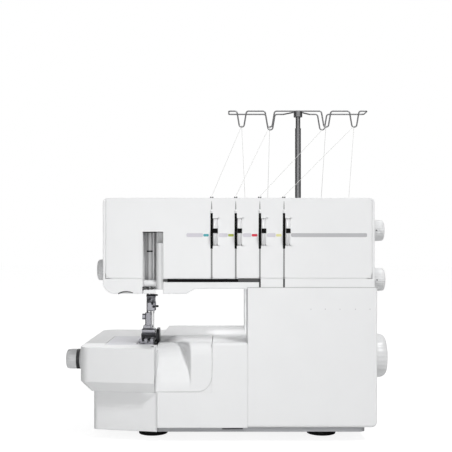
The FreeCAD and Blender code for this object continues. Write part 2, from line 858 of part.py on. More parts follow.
def make_looper_cover():
    """The front door on its rolled hinge edge, with the scooped chute for trimmings."""
    front = s.front_y
    back = front + s.door_depth
    axis_y = front + s.knuckle_radius
    axis_z = door_z + s.knuckle_radius
    chute_z = deck_z - s.chute_drop
    chute_right = door_left + s.chute_width
    bend = front + s.chute_run
    lip = [
        (front, axis_z),
        (front + s.wall, axis_z),
        (front + s.wall, deck_z - s.wall),
        (back, deck_z - s.wall),
        (back, deck_z),
        (front, deck_z),
    ]
    chute = [
        (front, axis_z),
        (front + s.chute_floor, axis_z),
        (bend + s.wall / 2, chute_z - s.wall),
        (back, chute_z - s.wall),
        (back, chute_z),
        (bend, chute_z),
    ]
    cheek = [(front, axis_z), (bend, chute_z), (back, chute_z), (back, deck_z), (front, deck_z)]
    raw = Piece("cover_raw").pad("YZ", chute_right - s.wall, door_right, lip)
    raw.fillet(s.door_crown - s.wall, "X", (front + s.wall, deck_z - s.wall))
    raw.pad("YZ", door_left, chute_right, chute)
    raw.pad("YZ", chute_right - s.wall, chute_right, cheek)
    raw.fillet(s.door_crown, "X", (front, deck_z))
    raw.fillet(s.door_round, "X", (bend, chute_z))
    raw.pad("YZ", door_left, door_right - s.door_round, (axis_y, axis_z, s.knuckle_radius))
    pin_bore = (axis_y, axis_z, s.hinge_pin_radius + s.run_fit)
    raw.pocket("YZ", door_left, door_right - s.door_round, pin_bore)
    outline = rect(door_left, door_right, door_z, deck_z)
    envelope = Piece("cover_envelope").pad("XZ", front, back, outline)
    envelope.fillet(s.door_round, "Y", (door_right, door_z))
    door = doc.addObject("Part::Common", "looper_cover")
    door.Base = pieces.pop("cover_raw")
    door.Tool = pieces.pop("cover_envelope")
    pieces["looper_cover"] = door
    pin_start = s.bed_split - s.wall * 2
    pin_length = door_right + s.door_gap + s.wall * 2 - pin_start
    pin = rod("cover_hinge_pin", "X", s.hinge_pin_radius, pin_length, pin_start, axis_y, axis_z)
    pieces["cover_hinge_pin"] = pin


def make_needle_plate():
    """The steel plate with its needle slot and feed slots, the fixed knife and two screws."""
    outline = rect(s.plate_left, plate_right, plate_front, plate_rear)
    plate = Piece("needle_plate").pad("XY", bed_top, plate_top, outline)
    needle_slot = rect(
        needle_xs[0] - s.slot_width,
        needle_xs[1] + s.slot_width / 2,
        bar_y - s.slot_width,
        bar_y + s.slot_width,
    )
    track_front = feed_front - s.feed_travel * 2
    track_back = feed_back + s.feed_travel * 2
    tracks = [rect(x - s.free_gap, x + s.wall + s.free_gap, track_front, track_back) for x in feed_xs]
    screw_x = s.plate_left + s.rib_width
    spots = [(screw_x, plate_front + s.rib_width), (screw_x, plate_rear - s.rib_width)]
    plate.pocket("XY", bed_top, plate_top, needle_slot, *tracks)
    seats = [(x, y, s.screw_head + s.run_fit) for x, y in spots]
    head = s.plate_thickness / 2
    plate.pocket("XY", plate_top - head, plate_top, *seats)
    heads = [rod("plate_screw", "Z", s.screw_head, head, x, y, plate_top - head) for x, y in spots]
    group("plate_screws", heads)
    edge = rect(bar_y - s.rib_width, bar_y + s.rib_width, bed_top - s.knife_height, plate_top - s.free_gap)
    Piece("lower_knife").pad("YZ", plate_right, knife_left - s.run_fit * 2, edge)


def make_frames():
    """The cast base with its uprights and the arm frame that guides the bars."""
    slab_left = upright_x[0]
    slab_right = column_right - s.column_round * 3
    slab = rect(slab_left, slab_right, s.front_y + s.door_depth, rear_y - s.wall * 8)
    base = Piece("base_frame").pad("XY", column_z, frame_z, slab)
    toe_left = s.lower_looper_x - s.boss_height
    toe = rect(toe_left, slab_left + s.wall, carrier_y, frame_y + s.lever_reach / 2)
    base.pad("XY", column_z, frame_z, toe)
    shaft_top = s.shaft_z + s.shaft_radius * 2
    for x in upright_x:
        foot = rect(x, x + s.upright_thickness, shaft_y - s.shaft_radius * 2, shaft_y + s.shaft_radius * 2)
        base.pad("XY", column_z, shaft_top, foot)
    carrier = rect(toe_left, slab_left + s.wall, carrier_y, carrier_back)
    base.pad("XY", column_z, s.looper_z + s.looper_shaft_radius * 3, carrier)
    feed_post = rect(feed_xs[0], feed_xs[1] + s.wall, carrier_back, carrier_back + s.boss_height)
    base.pad("XY", column_z, feed_z, feed_post)
    lug_left = knife_right + s.free_gap
    lug_right = knife_right + s.rib_width
    knife_lug = rect(lug_left, lug_right, knife_y - s.lifter_height, knife_y + s.lifter_height)
    base.pad("XY", column_z, knife_z + s.lifter_height, knife_lug)
    bearing = (shaft_y, s.shaft_z, s.shaft_radius + s.bush_wall)
    for x in upright_x:
        base.pocket("YZ", x, x + s.upright_thickness, bearing)
    bore = s.looper_shaft_radius + s.run_fit
    bores = [(s.lower_looper_x, s.looper_z, bore), (s.upper_looper_x, s.looper_z, bore)]
    base.pocket("XZ", carrier_y, carrier_back, *bores)
    base.pocket("YZ", lug_left, lug_right, (knife_y, knife_z, s.pivot_radius + s.run_fit))
    wall_left = lifter_left - s.boss_height
    wall = rect(wall_left, head_right - s.rib_width, guide_low[0], head_top - s.rib_width)
    arm = Piece("arm_frame").pad("XZ", frame_y, frame_back, wall)
    for x in post_x:
        post = rect(x, x + s.upright_thickness, frame_y, frame_back + s.boss_height)
        arm.pad("XY", frame_z, guide_low[0] + s.rib_width, post)
    guide = rect(lifter_left - s.wall, lever_left - s.free_gap, bar_y - s.upright_thickness, frame_y)
    arm.pad("XY", guide_low[0], guide_low[1], guide)
    arm.pad("XY", guide_high[0], guide_high[1], guide)
    lever_lug = rect(lever_y - s.lifter_height, frame_y, lever_z - s.lifter_height, lever_z + s.lifter_height)
    arm.pad("YZ", lever_right + s.free_gap, lever_right + s.rib_width, lever_lug)
    half_lug = s.lifter_height
    lifter_lug = rect(lifter_y - half_lug, frame_y, lifter_z - half_lug, lifter_z + half_lug)
    arm.pad("YZ", lifter_left - s.rib_width, lifter_left - s.free_gap, lifter_lug)
    needle_bore = (s.bar_x, bar_y, s.bar_radius + s.run_fit)
    presser_bore = (s.presser_x, presser_y, s.presser_radius + s.run_fit)
    arm.pocket("XY", guide_low[0], guide_low[1], needle_bore, presser_bore)
    arm.pocket("XY", guide_high[0], guide_high[1], needle_bore, presser_bore)
    pivot = s.pivot_radius + s.run_fit
    arm.pocket("YZ", lever_right + s.free_gap, lever_right + s.rib_width, (lever_y, lever_z, pivot))
    arm.pocket("YZ", lifter_left - s.rib_width, lifter_left - s.free_gap, (lifter_y, lifter_z, pivot))
    window = rect(lifter_left - s.wall, lifter_right + s.wall, guide_low[1], lifter_z + s.lifter_height * 2)
    arm.pocket("XZ", frame_y, frame_back, window)


def make_drive():
    """The main shaft with its bushes, handwheel and pulley, and the motor that turns it."""
    wheel_x = column_right + s.wheel_gap
    bore_depth = s.wheel_width / 2
    shaft_start = upright_x[0] - s.rib_width
    length = wheel_x + bore_depth - shaft_start
    pieces["main_shaft"] = rod("main_shaft", "X", s.shaft_radius, length, shaft_start, shaft_y, s.shaft_z)
    ring = [
        (0, s.shaft_radius + s.run_fit),
        (s.upright_thickness, s.shaft_radius + s.run_fit),
        (s.upright_thickness, s.shaft_radius + s.bush_wall),
        (0, s.shaft_radius + s.bush_wall),
    ]
    bushes = []
    for index, x in enumerate(upright_x):
        label = f"bush_{index}"
        Piece(label).turn("X", ring).at(x, shaft_y, s.shaft_z)
        bushes.append(pieces.pop(label))
    group("bushes", bushes)
    hub = s.shaft_radius + s.run_fit
    rim = s.wheel_radius
    width = s.wheel_width
    wheel = [
        (0, hub),
        (0, rim - s.wall),
        (s.wall, rim),
        (width - s.wall * 2, rim),
        (width - s.wheel_edge, rim - s.wheel_crown),
        (width, rim / 2),
        (width, 0),
        (bore_depth, 0),
        (bore_depth, hub),
    ]
    Piece("handwheel").turn("X", wheel).at(wheel_x, shaft_y, s.shaft_z)
    groove = s.pulley_radius - s.belt_thickness
    pulley = [
        (-s.wall, hub),
        (s.pulley_width + s.wall, hub),
        (s.pulley_width + s.wall, s.pulley_radius + s.belt_thickness),
        (s.pulley_width, groove),
        (0, groove),
        (-s.wall, s.pulley_radius + s.belt_thickness),
    ]
    Piece("drive_pulley").turn("X", pulley).at(pulley_x, shaft_y, s.shaft_z)
    motor = Piece("motor").turn("X", [
        (0, 0),
        (motor_length, 0),
        (motor_length, s.motor_radius - s.wall),
        (motor_length - s.wall, s.motor_radius),
        (s.wall, s.motor_radius),
        (0, s.motor_radius - s.wall),
    ]).at(motor_x, s.motor_y, s.motor_z)
    saddle = rect(motor_length / 4, motor_length / 4 * 3, -s.motor_radius / 2, s.motor_radius / 2)
    motor.pad("XY", frame_z - s.motor_z, -s.motor_radius / 2, saddle)
    spindle = s.spindle_radius
    reach = pulley_x - motor_x - motor_length
    Piece("motor_pulley").turn("X", [
        (s.free_gap, 0),
        (reach + s.pulley_width + s.wall, 0),
        (reach + s.pulley_width + s.wall, s.motor_pulley_radius + s.belt_thickness),
        (reach + s.pulley_width, s.motor_pulley_radius - s.belt_thickness),
        (reach, s.motor_pulley_radius - s.belt_thickness),
        (reach - s.wall, s.motor_pulley_radius + s.belt_thickness),
        (reach - s.wall, spindle),
        (s.free_gap, spindle),
    ]).at(motor_x + motor_length, s.motor_y, s.motor_z)
    solid("drive_belt", belt_shape())


def belt_loop(large, small, centre, other):
    """A closed loop of two arcs and the two straight runs that touch both circles."""
    along = other - centre
    lean = math.acos((large - small) / along.Length)
    heading = math.atan2(along.z, along.y)

    def rim_point(middle, radius, angle):
        return middle + Vector(0, math.cos(angle), math.sin(angle)) * radius

    upper, lower = heading + lean, heading - lean
    a, b = rim_point(centre, large, upper), rim_point(other, small, upper)
    c, d = rim_point(other, small, lower), rim_point(centre, large, lower)
    edges = [
        Part.LineSegment(a, b).toShape(),
        Part.Arc(b, rim_point(other, small, heading), c).toShape(),
        Part.LineSegment(c, d).toShape(),
        Part.Arc(d, rim_point(centre, large, heading + math.pi), a).toShape(),
    ]
    return Part.Wire(edges)


def belt_shape():
    """The belt's band round both pulley grooves."""
    x = pulley_x.number + s.free_gap.number
    centre = Vector(x, shaft_y.number, s.shaft_z.number)
    other = Vector(x, s.motor_y.number, s.motor_z.number)
    clear = s.free_gap.number - s.belt_thickness.number
    inner = belt_loop(s.pulley_radius.number + clear, s.motor_pulley_radius.number + clear, centre, other)
    thick = clear + s.belt_thickness.number
    outer = belt_loop(s.pulley_radius.number + thick, s.motor_pulley_radius.number + thick, centre, other)
    band = Part.Face(outer).cut(Part.Face(inner))
    return band.extrude(Vector(s.pulley_width.number - 2 * s.free_gap.number, 0, 0)).Solids[0]


feed_xs = (s.presser_x - s.upright_thickness, s.presser_x - s.lever_thickness)
feed_front = bar_y - s.boss_height
feed_back = presser_y
make_cloth_plate()
make_looper_cover()
make_needle_plate()
make_frames()
make_drive()


def make_needle_bar():
    """The needle bar with its collar and stud, the lever that drives it, the clamp and the needles."""
    bar_low = clamp_low + s.clamp_height / 3
    bar_top = head_top - s.wall * 2
    bar = Piece("needle_bar").turn("Z", [
        (bar_low, 0),
        (bar_low, s.bar_radius),
        (collar_low, s.bar_radius),
        (collar_low, s.collar_radius),
        (collar_low + s.collar_height, s.collar_radius),
        (collar_low + s.collar_height, s.bar_radius),
        (bar_top, s.bar_radius),
        (bar_top, 0),
    ]).at(s.bar_x, bar_y)
    stud = (0, stud_z, s.stud_radius)
    bar.pad("YZ", s.bar_radius, lever_right - s.bar_x - s.free_gap, stud)
    half = s.lever_height / 2
    jaw = s.stud_radius + s.dial_gap
    lever = Piece("needle_lever")
    lever.pad("YZ", 0, s.lever_thickness, rect(-s.lever_reach - half, half, -half, half))
    mouth = rect(-s.lever_reach - half, -s.lever_reach + half, -jaw, jaw)
    lever.pocket("YZ", 0, s.lever_thickness, mouth)
    lever.pad("YZ", s.lever_thickness, s.rib_width + s.lever_thickness, (0, 0, s.pivot_radius))
    lever.at(lever_left, lever_y, lever_z)
    tilt = math.degrees(math.atan(s.needle_stroke.number / 2 / s.lever_reach.number))
    lever.body.Placement.Rotation = Rotation(Vector(1, 0, 0), -tilt)
    front = bar_y - s.clamp_depth / 2
    clamp = Piece("needle_clamp")
    outline = rect(clamp_left, clamp_left + s.clamp_width, front, front + s.clamp_depth)
    clamp.pad("XY", clamp_low, clamp_top, outline)
    clamp.fillet(s.stud_radius, "Z", (clamp_left, front), (clamp_left + s.clamp_width, front))
    clamp.pocket("XY", bar_low, clamp_top, (s.bar_x, bar_y, s.bar_radius + s.run_fit))
    sockets = [(x, bar_y, s.needle_radius * 2) for x in needle_xs]
    socket_top = clamp_low + s.clamp_height / 3
    clamp.pocket("XY", clamp_low, socket_top - s.wheel_gap, *sockets)
    needles = []
    for x in needle_xs:
        label = f"needle_{len(needles)}"
        tip = clamp_low - s.needle_length
        blade = s.needle_radius
        shank = blade * 2 - s.run_fit
        Piece(label).turn("Z", [
            (tip, 0),
            (tip + s.needle_pitch, blade),
            (clamp_low - s.needle_pitch, blade),
            (clamp_low - s.wheel_gap, shank),
            (socket_top - s.wheel_gap, shank),
            (socket_top - s.wheel_gap, 0),
        ]).at(x, bar_y)
        needles.append(pieces.pop(label))
    group("needles", needles)
    screws = [
        rod("clamp_screw", "Y", s.clamp_screw_radius, s.wall, x, front - s.wall, clamp_low + level)
        for x, level in ((s.bar_x, s.clamp_screw_high), (s.needle_x, s.clamp_screw_low))
    ]
    group("clamp_screws", screws)


def make_presser():
    """The presser bar, its ankle, foot and spring, and the lifter lever behind it."""
    bar_top = guide_high[1] + s.boss_height
    collar = s.presser_radius + s.step_rise
    Piece("presser_bar").turn("Z", [
        (bar_foot_z, 0),
        (bar_foot_z, s.presser_radius),
        (lift_z, s.presser_radius),
        (lift_z, collar),
        (spring_z, collar),
        (spring_z, s.presser_radius),
        (bar_top, s.presser_radius),
        (bar_top, 0),
    ]).at(s.presser_x, presser_y)
    Piece("presser_spring").turn("Z", [
        (spring_z + s.free_gap, s.presser_radius + s.dial_gap),
        (guide_high[0] - s.free_gap, s.presser_radius + s.dial_gap),
        (guide_high[0] - s.free_gap, collar - s.wheel_gap),
        (spring_z + s.free_gap, collar - s.wheel_gap),
    ]).at(s.presser_x, presser_y)
    half = s.ankle_width / 2
    left = s.presser_x - half
    right = s.presser_x + half
    block = rect(left, right, presser_y - half - s.wheel_gap, presser_y + half + s.wheel_gap)
    ankle = Piece("presser_ankle").pad("XY", ankle_z, bar_foot_z, block)
    knob = (presser_y, ankle_z + s.ankle_height / 2, s.presser_radius)
    ankle.pad("YZ", left - s.lever_thickness, left, knob)
    toe = presser_y + s.lever_height - s.foot_length
    heel = presser_y + s.lever_height
    edge = s.foot_width / 2
    sole = rect(s.presser_x - edge, s.presser_x + edge, toe, heel)
    foot = Piece("presser_foot").pad("XY", sole_z, shank_z, sole)
    foot.fillet(s.lever_thickness, "Z", (s.presser_x - edge, toe), (s.presser_x + edge, toe))
    foot.pad("XY", shank_z, ankle_z, rect(left, right, presser_y - half, presser_y + half))
    tab = rect(left - s.wall, left, presser_y - half, presser_y)
    foot.pad("XY", shank_z + s.lever_thickness, ankle_z - s.wheel_gap, tab)
    slot = rect(
        needle_xs[0] - s.slot_width / 2,
        needle_xs[1] + s.wheel_gap,
        bar_y - s.slot_width,
        bar_y + s.slot_width,
    )
    foot.pocket("XY", sole_z, shank_z, slot)
    tail = rear_y + s.lifter_tail
    low = lifter_z - s.lifter_height / 2
    bar = rect(lifter_tip, tail, low, low + s.lifter_height)
    lifter = Piece("presser_lifter").pad("YZ", lifter_left, lifter_right, bar)
    lifter.pad("YZ", lifter_left - s.rib_width, lifter_left, (lifter_y, lifter_z, s.pivot_radius))


def make_loopers():
    """The two loopers on their shafts, the moving knife on its arm and the feed dogs."""
    shaft = s.looper_shaft_radius
    hub = shaft * 2
    reach = s.looper_reach
    specs = (
        ("lower_looper", s.lower_looper_x, looper_y, 1),
        ("upper_looper", s.upper_looper_x, upper_looper_y, -1),
    )
    for label, x, y, side in specs:
        looper = Piece(label)
        arm = rect(-shaft, shaft, 0, reach)
        looper.pad("XZ", 0, s.looper_thickness, (0, 0, hub))
        looper.pad("XZ", 0, s.looper_thickness, arm)
        blade = [
            (shaft * side, reach - hub + shaft / 2),
            (shaft * 4 * side, reach),
            (shaft * side, reach - shaft / 2),
        ]
        looper.pad("XZ", 0, s.looper_thickness, blade)
        looper.pad("XZ", s.looper_thickness, carrier_back - y, (0, 0, shaft))
        looper.at(x, y, s.looper_z)
    blade_back = bar_y + s.rib_width
    blade_top = plate_top + s.knife_height
    blade = rect(bar_y - s.stud_radius, blade_back, plate_top - s.wheel_gap, blade_top)
    Piece("upper_knife").pad("YZ", knife_left, knife_right, blade)
    half = s.lifter_height
    arm = Piece("upper_knife_arm").pad("YZ", knife_left, knife_right, [
        (blade_back, knife_z - half),
        (knife_y + half, knife_z - half),
        (knife_y + half, knife_z + half),
        (blade_back + s.lever_height, knife_z + half),
        (blade_back + s.lever_height, blade_top),
        (blade_back, blade_top),
    ])
    arm.pad("YZ", knife_right, knife_right + s.rib_width, (knife_y, knife_z, s.pivot_radius))
    teeth_top = plate_top - s.dial_gap
    feed = Piece("feed_dogs")
    bar = rect(feed_xs[0], feed_xs[1] + s.wall, feed_front, carrier_back + s.boss_height)
    feed.pad("XY", feed_z, feed_z + s.lever_thickness, bar)
    rows = [rect(x, x + s.wall, feed_front, feed_back) for x in feed_xs]
    feed.pad("XY", feed_z + s.lever_thickness, teeth_top, *rows)


def make_tension_dials():
    """Four thumbwheels that turn on their posts beside the thread slots."""
    posts = []
    for index, x in enumerate(slots):
        start = x + s.dial_offset
        thick = s.dial_thickness
        bevel = s.wheel_gap
        Piece(f"tension_dial_{index + 1}").turn("X", [
            (0, s.post_radius + s.run_fit),
            (thick, s.post_radius + s.run_fit),
            (thick, s.dial_radius - bevel),
            (thick - bevel, s.dial_radius),
            (bevel, s.dial_radius),
            (0, s.dial_radius - bevel),
        ]).at(start, tension_y, tension_z)
        label = f"post_{index}"
        disc = s.disc_thickness
        Piece(label).turn("X", [
            (-s.rib_width / 2, 0),
            (s.dial_offset + thick + s.wall, 0),
            (s.dial_offset + thick + s.wall, s.post_radius),
            (disc, s.post_radius),
            (disc, s.disc_radius),
            (disc / 4, s.disc_radius),
            (disc / 4, s.post_radius * 2),
            (-disc / 4, s.post_radius * 2),
            (-disc / 4, s.disc_radius),
            (-disc, s.disc_radius),
            (-disc, s.post_radius),
            (-s.rib_width / 2, s.post_radius),
        ]).at(x, tension_y, tension_z)
        posts.append(pieces.pop(label))
    group("tension_posts", posts)


def make_side_dials():
    """The setting dials on both sides of the casing, each on a stem through the wall."""
    stem = s.side_dial_stem
    step = s.column_step + s.free_gap
    specs = (
        ("stitch_length_dial", "length_dial", head_right, 1, step),
        ("differential_dial", "feed_dial", head_right, 1, step),
        ("pressure_dial", "pressure_dial", s.head_left, -1, s.free_gap),
        ("cutting_width_dial", "width_dial", bed_left, -1, s.free_gap),
    )
    for label, prefix, x, side, start in specs:
        z, radius, reach = (getattr(s, f"{prefix}_{measure}") for measure in ("z", "radius", "reach"))
        bevel = s.side_dial_bevel
        outline = [
            (-s.rib_width, 0),
            (-s.rib_width, stem),
            (start, stem),
            (start, radius - bevel),
            (start + bevel, radius),
            (start + reach - bevel, radius),
            (start + reach, radius - bevel),
            (start + reach, 0),
        ]
        turned = [(size_of(along) * side, across) for along, across in outline]
        Piece(label).turn("X", turned).at(x, dial_y, z)


def make_electrics():
    """The work lamp's lens, the power inlet and the rocker switch."""
    gap = s.free_gap
    lamp_right = s.lamp_left + s.lamp_width
    lens = rect(s.lamp_left + gap, lamp_right - gap, bar_y - s.lamp_length + gap, bar_y - gap)
    lamp = Piece("lamp_lens").pad("XY", arm_z - s.wheel_gap, arm_z + s.wall, lens)
    flange = rect(s.lamp_left - s.wheel_gap, lamp_right + s.wheel_gap, bar_y - s.lamp_length, bar_y)
    lamp.pad("XY", arm_z + s.wall, arm_z + s.wall * 2, flange)
    half_wide = s.inlet_width / 2
    half_high = s.inlet_height / 2
    block = rect(s.inlet_y - half_wide, s.inlet_y + half_wide, s.inlet_z - half_high, s.inlet_z + half_high)
    inlet = Piece("power_inlet").pad("YZ", column_right - s.inlet_depth, column_right, block)
    mouth = rect(
        s.inlet_y - half_wide + s.wall,
        s.inlet_y + half_wide - s.wall,
        s.inlet_z - half_high + s.wall,
        s.inlet_z + half_high - s.wall,
    )
    inlet.pocket("YZ", column_right - s.inlet_depth + s.wall, column_right, mouth)
    pins = [(s.inlet_y + s.lever_thickness * side, s.inlet_z, s.stud_radius / 2) for side in (-1, 1)]
    inlet.pad("YZ", column_right - s.inlet_depth + s.wall, column_right - s.wall, *pins)
    rocker_half = s.switch_height / 2
    rocker = Piece("power_switch").pad("XZ", -s.switch_width / 2, s.switch_width / 2, [
        (-s.wall * 2, -rocker_half + s.wall),
        (s.rocker_low, -rocker_half),
        (s.rocker_dip, 0),
        (s.rocker_high, rocker_half),
        (-s.wall * 2, rocker_half - s.wall),
    ])
    rocker.at(column_right, s.inlet_y, s.switch_z)


make_needle_bar()
make_presser()
make_loopers()
make_tension_dials()
make_side_dials()
make_electrics()

# The thread stand behind the head
stand_top = s.stand_z + s.stand_thickness
mast_y = rear_y + s.mast_back
tube_top = s.stand_z + s.mast_height
tree_z = tube_top + s.rod_rise
cone_spots = [
    (s.mast_x - s.cone_outer, rear_y + s.cone_front),
    (s.mast_x - s.cone_inner, rear_y + s.cone_front + s.cone_step),
    (s.mast_x + s.cone_inner, rear_y + s.cone_front + s.cone_step),
    (s.mast_x + s.cone_outer, rear_y + s.cone_front),
]
front_dips = [-s.outer_dip, -s.inner_dip, s.inner_dip, s.outer_dip]
guide_y = s.front_y + s.head_round


def make_spool_stand():
    """The shelf on the column's back with its spool pins, brackets and mast boss, and the cones."""
    right = s.stand_left + s.stand_width
    back = rear_y + s.stand_depth
    shelf = Piece("spool_stand")
    shelf.pad("XY", s.stand_z, stand_top, rect(s.stand_left, right, rear_y, back))
    shelf.fillet(s.stand_round, "Z", (s.stand_left, back), (right, back))
    shelf.pad("XY", stand_top, stand_top + s.boss_height, (s.mast_x, mast_y, s.boss_radius))
    pin_top = stand_top + s.cone_height - s.lever_height
    shelf.pad("XY", stand_top, pin_top, *[(x, y, s.pin_radius) for x, y in cone_spots])
    brace = [
        (rear_y, s.stand_z),
        (rear_y, s.stand_z - s.stand_round),
        (rear_y + s.stand_round * 2, s.stand_z),
    ]
    for x in (cone_spots[1][0], cone_spots[2][0]):
        shelf.pad("YZ", x - s.stand_thickness / 2, x + s.stand_thickness / 2, brace)
    shelf.pocket("XY", s.stand_z, stand_top + s.boss_height, (s.mast_x, mast_y, s.mast_radius + s.run_fit))
    cones = []
    for index, (x, y) in enumerate(cone_spots):
        label = f"cone_{index}"
        Piece(label).turn("Z", [
            (stand_top, s.pin_radius + s.free_gap),
            (stand_top, s.cone_radius),
            (stand_top + s.cone_height, s.cone_tip_radius),
            (stand_top + s.cone_height, s.pin_radius + s.free_gap),
        ]).at(x, y)
        cones.append(pieces.pop(label))
    group("thread_cones", cones)


def make_mast():
    """The telescopic mast: a fixed tube and the rod that slides out of it."""
    bore = s.rod_radius + s.run_fit
    Piece("mast_tube").turn("Z", [
        (s.stand_z, bore),
        (s.stand_z, s.mast_radius),
        (tube_top, s.mast_radius),
        (tube_top, bore),
    ]).at(s.mast_x, mast_y)
    rod_length = s.rod_inside + s.rod_rise - s.wheel_gap
    rod_foot = tube_top - s.rod_inside
    pieces["mast_rod"] = rod("mast_rod", "Z", s.rod_radius, rod_length, s.mast_x, mast_y, rod_foot)


def tree_half(side):
    """One half of the wire tree: along the front with its dips, round the tip and back to the cap."""
    half_dip = s.tree_dip_width.number / 2
    half_floor = s.tree_dip_floor.number / 2
    gap = s.tree_gap.number

    def dip(middle, y):
        drop = -s.tree_dip.number
        shape = [(-half_dip, 0), (-half_floor, drop), (half_floor, drop), (half_dip, 0)]
        return [(middle + across, y, down) for across, down in shape]

    route = [(0, 0, 0)]
    route += dip(s.inner_dip.number, 0)
    route += dip(s.outer_dip.number, 0)
    route += [(s.tree_reach.number, 0, 0), (s.tree_reach.number, gap, 0)]
    route += reversed(dip(s.rear_dip.number, gap))
    route += [(s.rear_dip.number / 2, gap, 0), (0, s.tree_bend.number, 0)]
    centre = Vector(s.mast_x.number, mast_y.number, tree_z.number + s.tree_wire_radius.number / 2)
    points = [centre + Vector(side * across, back, up) for across, back, up in route]
    path = rounded_path(points, [s.tree_bend.number] * (len(points) - 2))
    return tube(path, s.tree_wire_radius.number)


def make_thread_tree():
    """The wire tree on a cap that sits on the rod."""
    cap_radius = s.rod_radius.number + s.wall.number
    cap_height = s.boss_height.number / 2
    foot = Vector(s.mast_x.number, mast_y.number, tree_z.number - cap_height)
    cap = Part.makeCylinder(cap_radius, cap_height, foot)
    socket = Part.makeCylinder(s.rod_radius.number, cap_height - s.wheel_gap.number, foot)
    cap = cap.cut(socket)
    tree = cap.fuse([tree_half(1), tree_half(-1)]).removeSplitter()
    solid("thread_tree", tree.Solids[0])


def make_top_guides():
    """The four small thread guides on the head's top edge."""
    guides = []
    for index, x in enumerate(slots):
        label = f"guide_{index}"
        half = s.guide_width / 2
        top = head_top + s.guide_height
        block = rect(x - half, x + half, guide_y - s.wall, guide_y + s.wall)
        guide = Piece(label).pad("XY", head_top, top, block)
        notch = rect(x - s.slot_width / 4, x + s.slot_width / 4, guide_y - s.wall, guide_y + s.wall)
        guide.pocket("XY", top - s.guide_height / 2, top, notch)
        guides.append(pieces.pop(label))
    group("top_thread_guides", guides)


def make_threads():
    """Each thread: up from its cone, over a dip of the tree and down to its guide on the head."""
    wire = s.tree_wire_radius.number
    clear = wire + s.thread_radius.number + s.free_gap.number
    over_z = tree_z.number + wire / 2 - s.tree_dip.number + clear
    apart = s.thread_apart.number
    turn_radius = s.thread_turn.number
    for index, ((cone_x, cone_y), dip_x, slot_x) in enumerate(zip(cone_spots, front_dips, slots)):
        over_x = s.mast_x.number + dip_x.number
        cone_top = stand_top.number + s.cone_height.number + s.free_gap.number
        guide_top = head_top.number + s.guide_height.number + s.free_gap.number
        points = [
            Vector(cone_x.number, cone_y.number, cone_top),
            Vector(over_x, mast_y.number + apart, over_z),
            Vector(over_x, mast_y.number - apart, over_z),
            Vector(slot_x.number, guide_y.number, guide_top),
        ]
        path = rounded_path(points, [turn_radius, turn_radius])
        print(f"thread {index + 1}: {path.Length:.1f} mm, turns of {turn_radius:.2f} mm over the wire")
        solid(f"thread_{index + 1}", tube(path, s.thread_radius.number))


make_spool_stand()
make_mast()
make_thread_tree()
make_top_guides()
make_threads()

doc.recompute()
for item in doc.Objects:
    if "Invalid" in item.State or "Error" in item.State:
        raise RuntimeError(f"{item.Label} did not build: {item.State}")
for label, item in pieces.items():
    if item.Shape.isNull() or not item.Shape.isValid():
        raise RuntimeError(f"{label} is not a valid shape")
os.makedirs("parts", exist_ok=True)
for label, item in pieces.items():
    item.Shape.exportStep(f"parts/{label}.step")
    box = item.Shape.BoundBox
    print(
        f"{label}: {len(item.Shape.Solids)} solid, {item.Shape.Volume / 1000:.1f} cm3,"
        f" x {box.XMin:.1f} {box.XMax:.1f}, y {box.YMin:.1f} {box.YMax:.1f}, z {box.ZMin:.1f} {box.ZMax:.1f}"
    )
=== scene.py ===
"""The looks of a domestic overlock sewing machine, laid out as an add-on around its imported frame."""

import json
import math

import bmesh
import bpy
from bpy.props import FloatProperty, FloatVectorProperty, IntProperty, PointerProperty
from mathutils import Matrix, Vector


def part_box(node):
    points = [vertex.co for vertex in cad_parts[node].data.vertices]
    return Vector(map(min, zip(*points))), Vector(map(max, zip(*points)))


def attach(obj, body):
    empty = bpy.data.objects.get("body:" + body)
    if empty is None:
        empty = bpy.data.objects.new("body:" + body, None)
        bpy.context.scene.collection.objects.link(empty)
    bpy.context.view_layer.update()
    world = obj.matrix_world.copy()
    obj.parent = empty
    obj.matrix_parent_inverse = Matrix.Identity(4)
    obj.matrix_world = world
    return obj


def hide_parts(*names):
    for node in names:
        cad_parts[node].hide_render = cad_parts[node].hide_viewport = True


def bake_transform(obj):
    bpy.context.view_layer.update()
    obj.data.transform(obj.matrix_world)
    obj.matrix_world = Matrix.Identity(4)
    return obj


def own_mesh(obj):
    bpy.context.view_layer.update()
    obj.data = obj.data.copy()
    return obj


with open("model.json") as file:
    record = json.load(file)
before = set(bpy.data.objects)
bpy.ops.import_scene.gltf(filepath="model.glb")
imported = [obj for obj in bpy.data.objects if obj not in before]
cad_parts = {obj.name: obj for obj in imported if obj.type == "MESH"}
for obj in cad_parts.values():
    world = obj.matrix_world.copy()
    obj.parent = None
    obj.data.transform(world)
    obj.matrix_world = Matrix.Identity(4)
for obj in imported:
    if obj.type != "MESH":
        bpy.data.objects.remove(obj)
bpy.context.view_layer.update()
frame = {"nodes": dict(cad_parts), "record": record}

bl_info = {
    "name": "Overlock machine looks",
    "version": (1, 0, 0),
    "blender": (4, 5, 0),
    "location": "View3D > Sidebar > Overlock",
    "description": "Dresses the frame of an overlock machine with its mouldings, dials, steel and threads",
    "category": "Object",
}

MM = 0.001
ROOT = "machine"
# The head's front face and the four thread slots in it, in millimetres
FRONT = -124.0
SLOT_XS = (-16.6, 7.9, 32.4, 56.9)
# Points of a piece that lie closer than this are joined
WELD = 0.002 * MM


def colour_property(name, description, default):
    """A colour that a user would change, in linear values."""
    return FloatVectorProperty(
        name=name, description=description, default=default, subtype="COLOR", size=3, min=0, max=1
    )


def length_property(name, description, default):
    """A size that a user would change, in metres."""
    return FloatProperty(name=name, description=description, default=default, unit="LENGTH", precision=5)


def count_property(name, description, default):
    """A number of ribs that a user would change."""
    return IntProperty(name=name, description=description, default=default, min=8)


